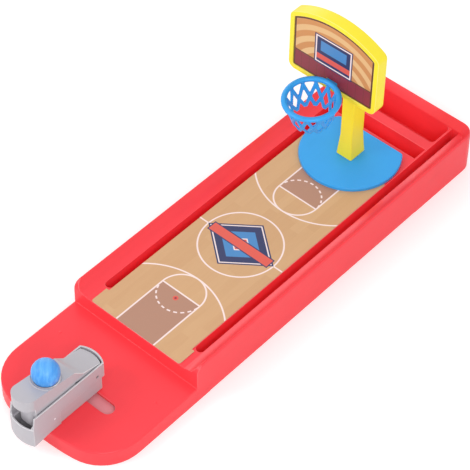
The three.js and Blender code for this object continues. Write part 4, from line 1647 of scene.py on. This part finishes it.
@dataclass(frozen=True)
class Studio:
    """The camera of the photograph, a pale floor and soft plain light."""

    azimuth: float = 41.21
    elevation: float = 47.70
    roll: float = 0.86
    distance: float = 1289.83 * MM
    target: Point = (-17.36 * MM, 22.43 * MM, 9.21 * MM)
    focal_pixels: float = 1946.79
    picture: float = 470.0
    sensor: float = 36.0
    floor_half: float = 3.0
    floor_drop: float = 0.02 * MM
    even: float = 0.75
    lamps: tuple[tuple[str, Point, float, float], ...] = (
        ("soft_box_left", (-0.58, -0.9, 0.83), 0.5, 3.4),
        ("soft_box_right", (0.78, -0.7, 0.85), 0.5, 4.6),
        ("soft_box_back", (-1.57, 1.01, 0.7), 0.9, 4.5),
    )

    def camera(self) -> None:
        """Place the camera as the photograph's fit gave it."""
        azimuth, elevation, roll = (math.radians(v) for v in (self.azimuth, self.elevation, self.roll))
        away = Vector((
            math.sin(azimuth) * math.cos(elevation),
            -math.cos(azimuth) * math.cos(elevation),
            math.sin(elevation),
        ))
        right = (-away).cross(Vector((0, 0, 1))).normalized()
        up = right.cross(-away)
        x = math.cos(roll) * right + math.sin(roll) * up
        y = -math.sin(roll) * right + math.cos(roll) * up
        pose = Matrix((x, y, away)).transposed().to_4x4()
        pose.translation = Vector(self.target) + away * self.distance
        lens = bpy.data.cameras.new("photo_camera")
        lens.sensor_width = self.sensor
        lens.lens = self.sensor * self.focal_pixels / self.picture
        lens.clip_start = 0.01
        lens.clip_end = 20.0
        camera = bpy.data.objects.new("photo_camera", lens)
        camera.matrix_world = pose
        bpy.context.scene.collection.objects.link(camera)
        bpy.context.scene.camera = camera

    def lamp(self, name: str, place: Point, size: float, power: float) -> None:
        """Hang a square soft box that faces the middle of the game.

        Args:
            name: The lamp's name.
            place: Where it hangs.
            size: The length of its side in metres.
            power: Its power in watts.
        """
        light = bpy.data.lights.new(name, "AREA")
        light.shape = "SQUARE"
        light.size = size
        light.energy = power
        lamp = bpy.data.objects.new(name, light)
        lamp.location = place
        lamp.rotation_euler = (-Vector(place)).to_track_quat("-Z", "Y").to_euler()
        bpy.context.scene.collection.objects.link(lamp)

    def floor(self) -> None:
        """Lay the floor."""
        half, low = self.floor_half, -self.floor_drop
        corners = [(-half, -half, low), (half, -half, low), (half, half, low), (-half, half, low)]
        table = new_piece("table_top", mesh_of("table_top", corners, [(0, 1, 2, 3)]))
        TableTop("pale_floor").dress(table)

    def world(self) -> None:
        """Light the room evenly, and show it white to the eye and in reflections."""
        sky = bpy.data.worlds.new("room")
        bpy.context.scene.world = sky
        sky.use_nodes = True
        bench = Bench(sky.node_tree)
        path = bench.node("ShaderNodeLightPath")
        seen = Wire(bench, path.outputs["Is Camera Ray"])
        for ray in ("Is Glossy Ray", "Is Transmission Ray"):
            seen = seen.most(Wire(bench, path.outputs[ray]))
        even = bench.wire("ShaderNodeBackground", {}, {"Color": WHITE, "Strength": self.even})
        white = bench.wire("ShaderNodeBackground", {}, {"Color": WHITE, "Strength": 1.0})
        mixed = bench.wire("ShaderNodeMixShader", {}, {0: seen, 1: even, 2: white})
        bench.node("ShaderNodeOutputWorld", values={"Surface": mixed})

    def build(self) -> None:
        """Set the whole studio up."""
        self.camera()
        self.floor()
        self.world()
        for name, place, size, power in self.lamps:
            self.lamp(name, place, size, power)
        bpy.context.scene.view_settings.view_transform = "Standard"


def main() -> None:
    """Build the studio and every sub-assembly, in order."""
    logging.basicConfig(level=logging.INFO, format="%(name)s %(message)s")
    Studio().build()
    for assembly in (Tray(), Court(), Stand(), Backboard(), Hoop(), Launcher(), Lever(), Ball()):
        assembly.build()
        LOG.info("%s built", type(assembly).__name__)


if __name__ == "__main__":
    main()
